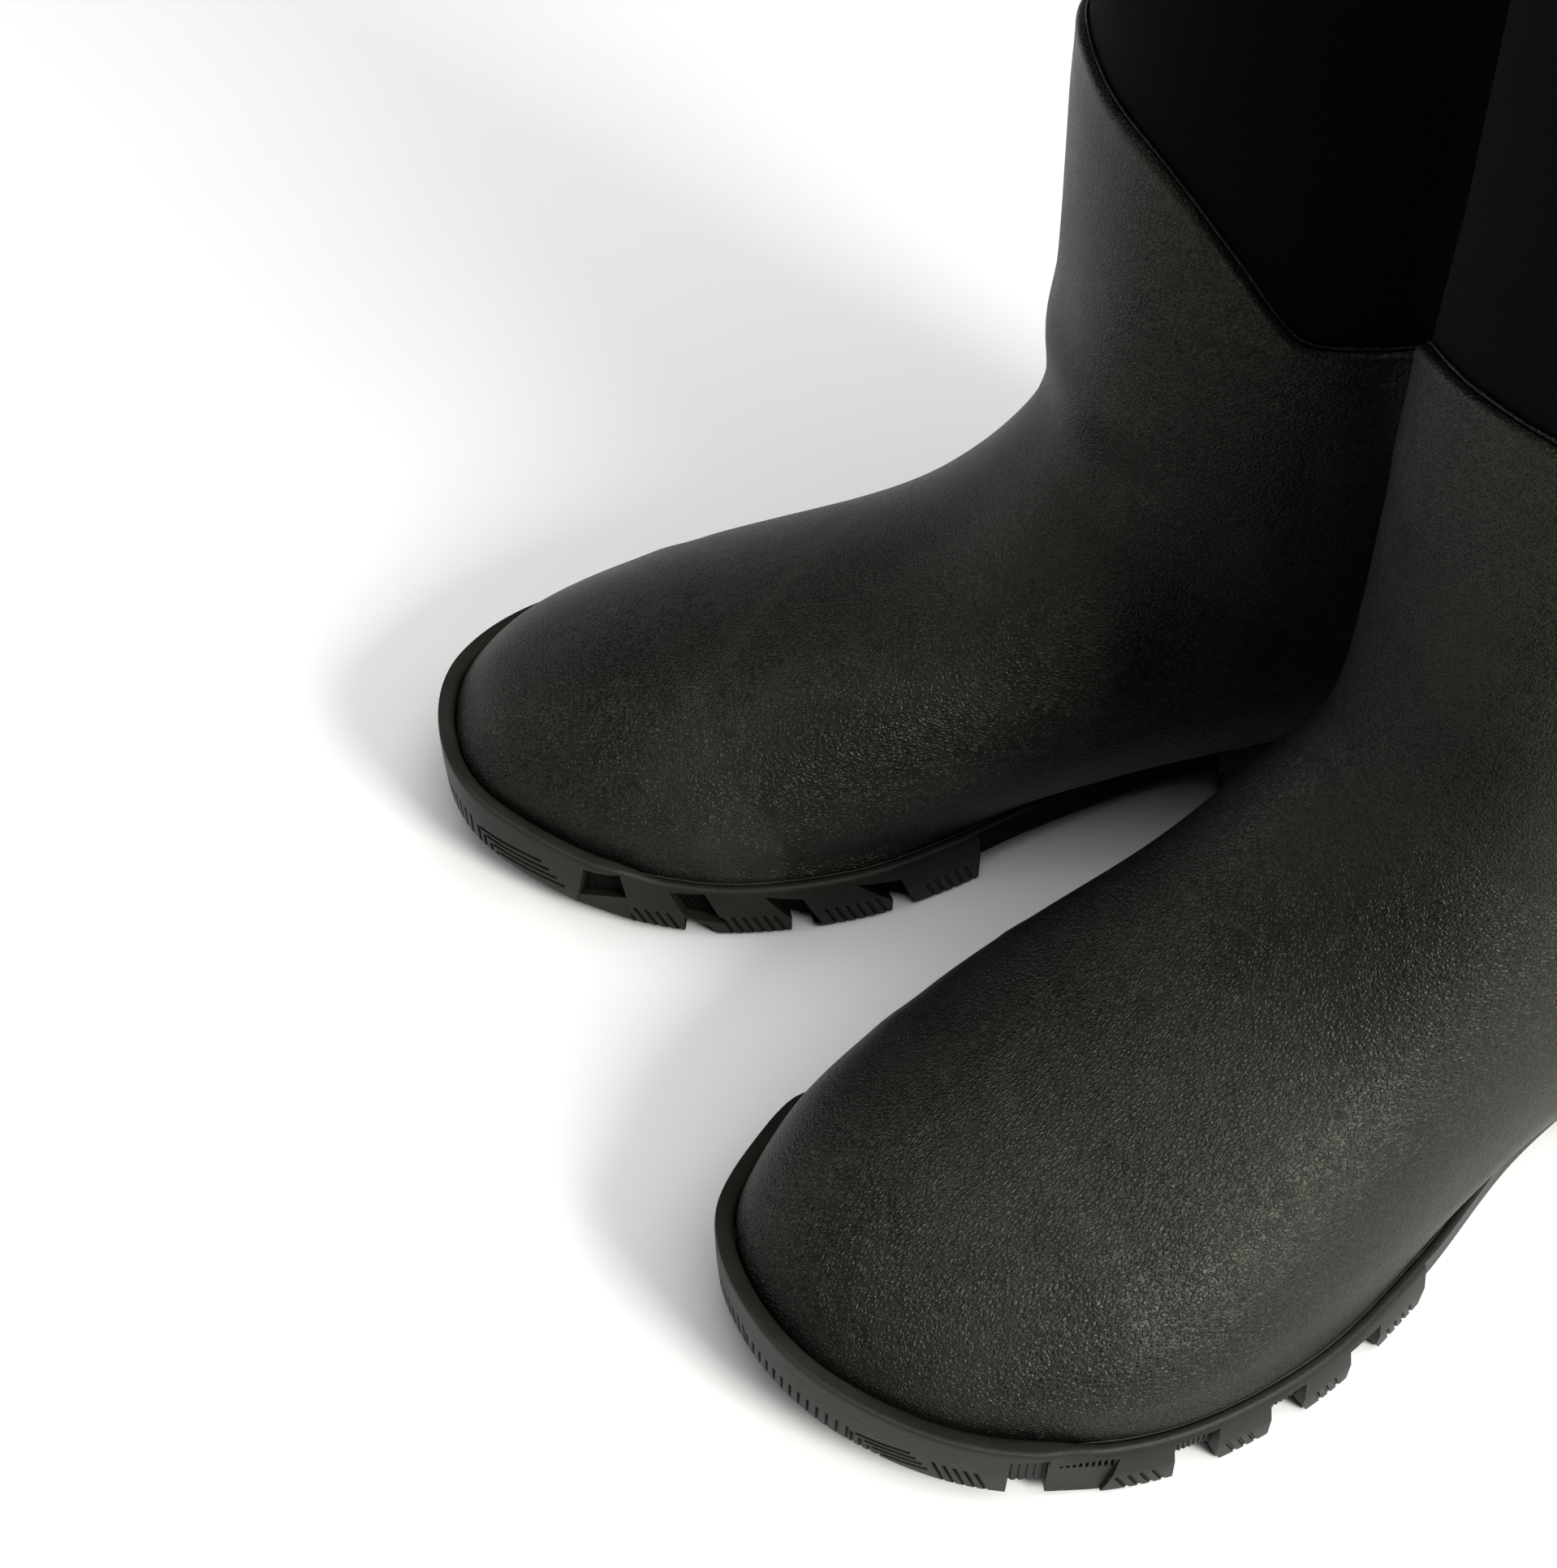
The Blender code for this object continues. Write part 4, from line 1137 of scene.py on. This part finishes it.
def moulded_rubber(name, dark, light, rough, shine=0.15):
    """Smoother moulded rubber of the sole, matt, with dusty patches, light scuffs and a fine orange peel."""
    t = Tree(name)
    fine, coarse = t.noise(2.0, 4.0, 0.6), t.noise(0.5)
    bloom = t.noise(0.03, 4.0, 0.6)
    scuff = t.cells(0.9, t.scaled(t.place, (0.3, 0.3, 1.2)))
    colour = t.mix(t.mask(bloom, 0.35, 0.7), dark, light)
    colour = t.mix(t.span(scuff, 0.02, 0.14, 0.25, 0.0, True), colour, times(light, 1.7))
    height = t.math("MULTIPLY_ADD", fine, 0.5, coarse)
    roughness = t.span(bloom, 0.3, 0.7, rough - 0.05, rough + 0.07)
    relief = t.bump(height, 0.00012)
    return t.finish(colour, roughness, relief, Specular_IOR_Level=shine)


def knit_fabric(name, dark, light, pitch, sheen, depth=0.0001):
    """Fine jersey: columns of small loops, slightly uneven, with lint."""
    t = Tree(name)
    bent = t.shift(t.place, 0.35, 0.6)
    parts = t.add("ShaderNodeSeparateXYZ", {0: bent})
    angle = t.math("ARCTAN2", parts.outputs[1], t.math("SUBTRACT", parts.outputs[0], SHAFT_MIDDLE))
    round_shaft = t.math("MULTIPLY", t.math("SINE", t.math("MULTIPLY", angle, round(360.0 / pitch))), 0.5)
    rows = t.math("SINE", t.math("MULTIPLY", parts.outputs[2], 2 * math.pi / pitch / 0.8))
    loops = t.math("MULTIPLY_ADD", t.math("MULTIPLY", round_shaft, rows), 1.0, 0.5)
    lint, cloud = t.noise(3.2, 5.0, 0.7), t.noise(0.04, 3.0, 0.5)
    colour = t.mix(t.span(loops, 0.1, 0.9, 0.0, 1.0), dark, light)
    colour = t.mix(t.mask(cloud, 0.35, 0.7, 0.5), colour, light)
    colour = t.mix(t.mask(lint, 0.66, 0.8, 0.35), colour, times(light, 2.2))
    height = t.math("MULTIPLY_ADD", lint, 0.6, loops)
    rough, relief = t.span(lint, 0.3, 0.7, 0.86, 0.97), t.bump(height, depth)
    return t.finish(
        colour, rough, relief, Specular_IOR_Level=0.05, Sheen_Weight=sheen, Sheen_Roughness=0.5)


def webbing_fabric(name, dark, light):
    """Narrow woven tape: a basket of ribs across and threads along."""
    t = Tree(name)
    bent = t.shift(t.place, 0.25, 0.8)
    parts = t.add("ShaderNodeSeparateXYZ", {0: bent})
    across = t.math("SINE", t.math("MULTIPLY", parts.outputs[1], 2 * math.pi / 1.5))
    along = t.math("SINE", t.math("MULTIPLY", parts.outputs[2], 2 * math.pi / 1.1))
    weave = t.math("MULTIPLY_ADD", t.math("MULTIPLY", across, along), 0.5, 0.5)
    fibre = t.noise(4.0, 4.0, 0.7, t.scaled(t.place, (1.0, 1.0, 0.3)))
    colour = t.mix(weave, dark, light)
    colour = t.mix(t.mask(fibre, 0.6, 0.8, 0.4), colour, times(light, 1.8))
    height = t.math("MULTIPLY_ADD", fibre, 0.4, weave)
    rough, relief = t.span(fibre, 0.3, 0.7, 0.75, 0.92), t.bump(height, 0.00022)
    return t.finish(colour, rough, relief, Specular_IOR_Level=0.25, Sheen_Weight=0.15)


def sewing_thread(name):
    t = Tree(name)
    twist = t.wave(1.6, t.scaled(t.place, (1.0, 1.0, 1.0), (0.6, 0.4, 0.3)))
    fuzz = t.noise(6.0, 3.0)
    colour = t.mix(twist, (0.008, 0.008, 0.008), (0.03, 0.03, 0.028))
    colour = t.mix(t.span(fuzz, 0.6, 0.75, 0.0, 0.4), colour, (0.06, 0.06, 0.055))
    return t.finish(colour, t.span(fuzz, 0.3, 0.7, 0.5, 0.7), t.bump(twist, 0.00008))


def foam(name, dark, light, rest=True):
    t = Tree(name, rest)
    pores, cloud = t.cells(1.5), t.noise(0.06, 4.0)
    colour = t.mix(t.mask(cloud, 0.35, 0.65), dark, light)
    # The pores, where the bump sinks in, are darkened: painted shade in the pits
    colour = t.mix(t.span(pores, 0.0, 0.3, 0.5, 0.0, True), colour, times(dark, 0.4))
    return t.finish(colour, t.span(pores, 0.0, 0.6, 0.95, 0.8), t.bump(pores, 0.0002))


def fibre_board(name):
    t = Tree(name, False)
    fibre, cloud = t.noise(0.8, 6.0, 0.75, t.scaled(t.place, (0.25, 1.0, 1.0))), t.noise(0.03, 3.0)
    colour = t.mix(fibre, (0.12, 0.085, 0.055), (0.32, 0.25, 0.17))
    colour = t.mix(t.span(cloud, 0.3, 0.7, 0.0, 0.4), colour, (0.2, 0.16, 0.11))
    return t.finish(colour, t.span(fibre, 0.3, 0.7, 0.8, 0.95), t.bump(fibre, 0.0002))


def rolled_steel(name):
    t = Tree(name, False)
    brushed, stain = t.noise(1.5, 4.0, 0.6, t.scaled(t.place, (0.05, 1.0, 1.0))), t.noise(0.08, 4.0)
    colour = t.mix(t.mask(stain, 0.4, 0.7), (0.42, 0.42, 0.43), (0.3, 0.28, 0.26))
    return t.finish(colour, t.span(brushed, 0.2, 0.8, 0.28, 0.5), t.bump(brushed, 0.00004), Metallic=1.0)


def studio_floor(name):
    t = Tree(name, False)
    cloud, grain = t.noise(0.004, 3.0), t.noise(0.7, 3.0)
    colour = t.mix(t.span(cloud, 0.3, 0.7, 0.0, 1.0), (0.77, 0.77, 0.77), (0.79, 0.79, 0.79))
    rough, relief = t.span(grain, 0.3, 0.7, 0.9, 0.98), t.bump(grain, 0.00003)
    return t.finish(colour, rough, relief, Specular_IOR_Level=0.1)


def paint(obj, *materials, slot=None):
    """Materials on a piece; a CAD piece keeps its slots and gets the first in all of them."""
    if obj.data.materials:
        for k in range(len(obj.data.materials)):
            obj.data.materials[k] = materials[0]
    else:
        for material in materials:
            obj.data.materials.append(material)


# Both boots

overlay = pebbled_rubber("overlay_rubber_grain", (0.0034, 0.0034, 0.0030), (0.011, 0.011, 0.0088), 0.375)
sole_rubber = moulded_rubber(
    "outsole_rubber_moulded", (0.0065, 0.0066, 0.0048), (0.013, 0.0132, 0.0096), 0.50, shine=0.18)
# Darker, rougher and duller copy of the sole rubber for the faces deep in the openings: its colour is painted
# shade in the recesses
recess_painted_shade_rubber = moulded_rubber(
    "outsole_rubber_recess_painted_shade", (0.0020, 0.0020, 0.0016), (0.0045, 0.0045, 0.0036), 0.8, shine=0.06)
bead_rubber = moulded_rubber("cement_bead", (0.007, 0.007, 0.006), (0.022, 0.022, 0.018), 0.5)
neoprene = knit_fabric("neoprene_jersey", (0.0010, 0.0010, 0.0010), (0.0022, 0.0022, 0.0024), 0.9, sheen=0.01)
lining = knit_fabric(
    "lining_jersey", (0.02, 0.02, 0.022), (0.045, 0.045, 0.048), 1.4, sheen=0.2, depth=0.0002)
webbing = webbing_fabric("cuff_webbing", (0.004, 0.004, 0.004), (0.014, 0.014, 0.014))
thread = sewing_thread("sewing_thread")
bed_foam = foam("footbed_foam", (0.05, 0.05, 0.052), (0.09, 0.09, 0.092))
hidden_foam = foam("midsole_foam", (0.07, 0.07, 0.07), (0.11, 0.11, 0.11), False)
board = fibre_board("insole_board_fibre")
steel = rolled_steel("shank_steel")
stiff_sheet = foam("stiffener_sheet", (0.10, 0.10, 0.09), (0.17, 0.17, 0.15), False)
KEPT_LOOKS = {
    "midsole": hidden_foam, "shank": steel, "insole_board": board,
    "toe_puff": stiff_sheet, "heel_counter": stiff_sheet,
}

wall = Wall()
for side in HANDS:
    outsole = make_outsole(side, wall)
    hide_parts(f"{side}_outsole")
    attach(outsole, f"{side}_foot")
    # The faces deep in the medial openings take the second, darker rubber: painted shade in the recesses
    paint(outsole, sole_rubber, recess_painted_shade_rubber, slot="outsole_rubber")
    outsole.data.polygons.foreach_set("material_index", painted_shade_faces(outsole.data, side))
    paint(make_rubber(side), overlay, slot="overlay_rubber")
    paint(sock("neoprene", NEOPRENE, side, (12, 16), 30), neoprene, slot="neoprene")
    paint(sock("lining", LINING, side, (10, 14), 16), lining, slot="lining_fabric")
    for bead, look in zip(make_beads(side), (bead_rubber, overlay)):
        paint(bead, look, slot="overlay_rubber")
    for make in (make_cuff_edge, make_seam_tape, make_pull_loop):
        make(side, (webbing, thread))
    paint(make_footbed(side), bed_foam, slot="eva_foam")
    for name, look in KEPT_LOOKS.items():
        paint(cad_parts[f"{side}_{name}"], look)

# The floor, the light and the camera

floor_mesh = bpy.data.meshes.new("studio_floor")
corners = [(x, y, -0.0003) for x, y in ((-4, -4), (4, -4), (4, 4), (-4, 4))]
floor_mesh.from_pydata(corners, [], [(0, 1, 2, 3)])
floor = add_object("studio_floor", floor_mesh)
paint(floor, studio_floor("floor_paper"))


def add_light(name, kind, spot, aim, power, colour=(1, 1, 1), **settings):
    """Light at a spot, turned to its aim; of a sun's spot and aim only the direction counts."""
    light = bpy.data.lights.new(name, kind)
    light.energy, light.color = power, colour
    for key, value in settings.items():
        setattr(light, key, value)
    made = add_object(name, light)
    made.location = spot
    made.rotation_euler = (Vector(aim) - Vector(spot)).to_track_quat("-Z", "Y").to_euler()


add_light("top_softbox", "SUN", (0.16, 0.27, 1.0), (0.0, 0.0, 0.0), 2.95, angle=math.radians(68))
add_light(
    "key_softbox", "AREA", (1.1, 0.45, 0.75), (0.07, -0.02, 0.05), 26.0, (1.0, 0.985, 0.94),
    shape="RECTANGLE", size=0.42, size_y=0.4)
add_light(
    "far_fill", "AREA", (-0.8, -0.95, 0.6), (0.0, -0.12, 0.02), 4.0, shape="RECTANGLE", size=0.6, size_y=0.5)

scene = bpy.context.scene
world = bpy.data.worlds.new("studio_world")
scene.world = world
world.use_nodes = True
world.node_tree.nodes["Background"].inputs["Color"].default_value = (1, 1, 1, 1)
world.node_tree.nodes["Background"].inputs["Strength"].default_value = 0.04
scene.view_settings.view_transform = "Standard"
scene.view_settings.look = "None"

camera_data = bpy.data.cameras.new("photo_camera")
camera_data.lens = 55.14
camera_data.sensor_width = 36.0
camera_data.shift_x, camera_data.shift_y = -0.0059, 0.0038
camera_data.clip_start, camera_data.clip_end = 0.01, 20.0
camera = add_object("photo_camera", camera_data)
camera.location = (0.345, -0.20895, 0.4851)
camera.rotation_euler = (math.radians(42.05), 0.0, math.radians(71.6))
scene.camera = camera
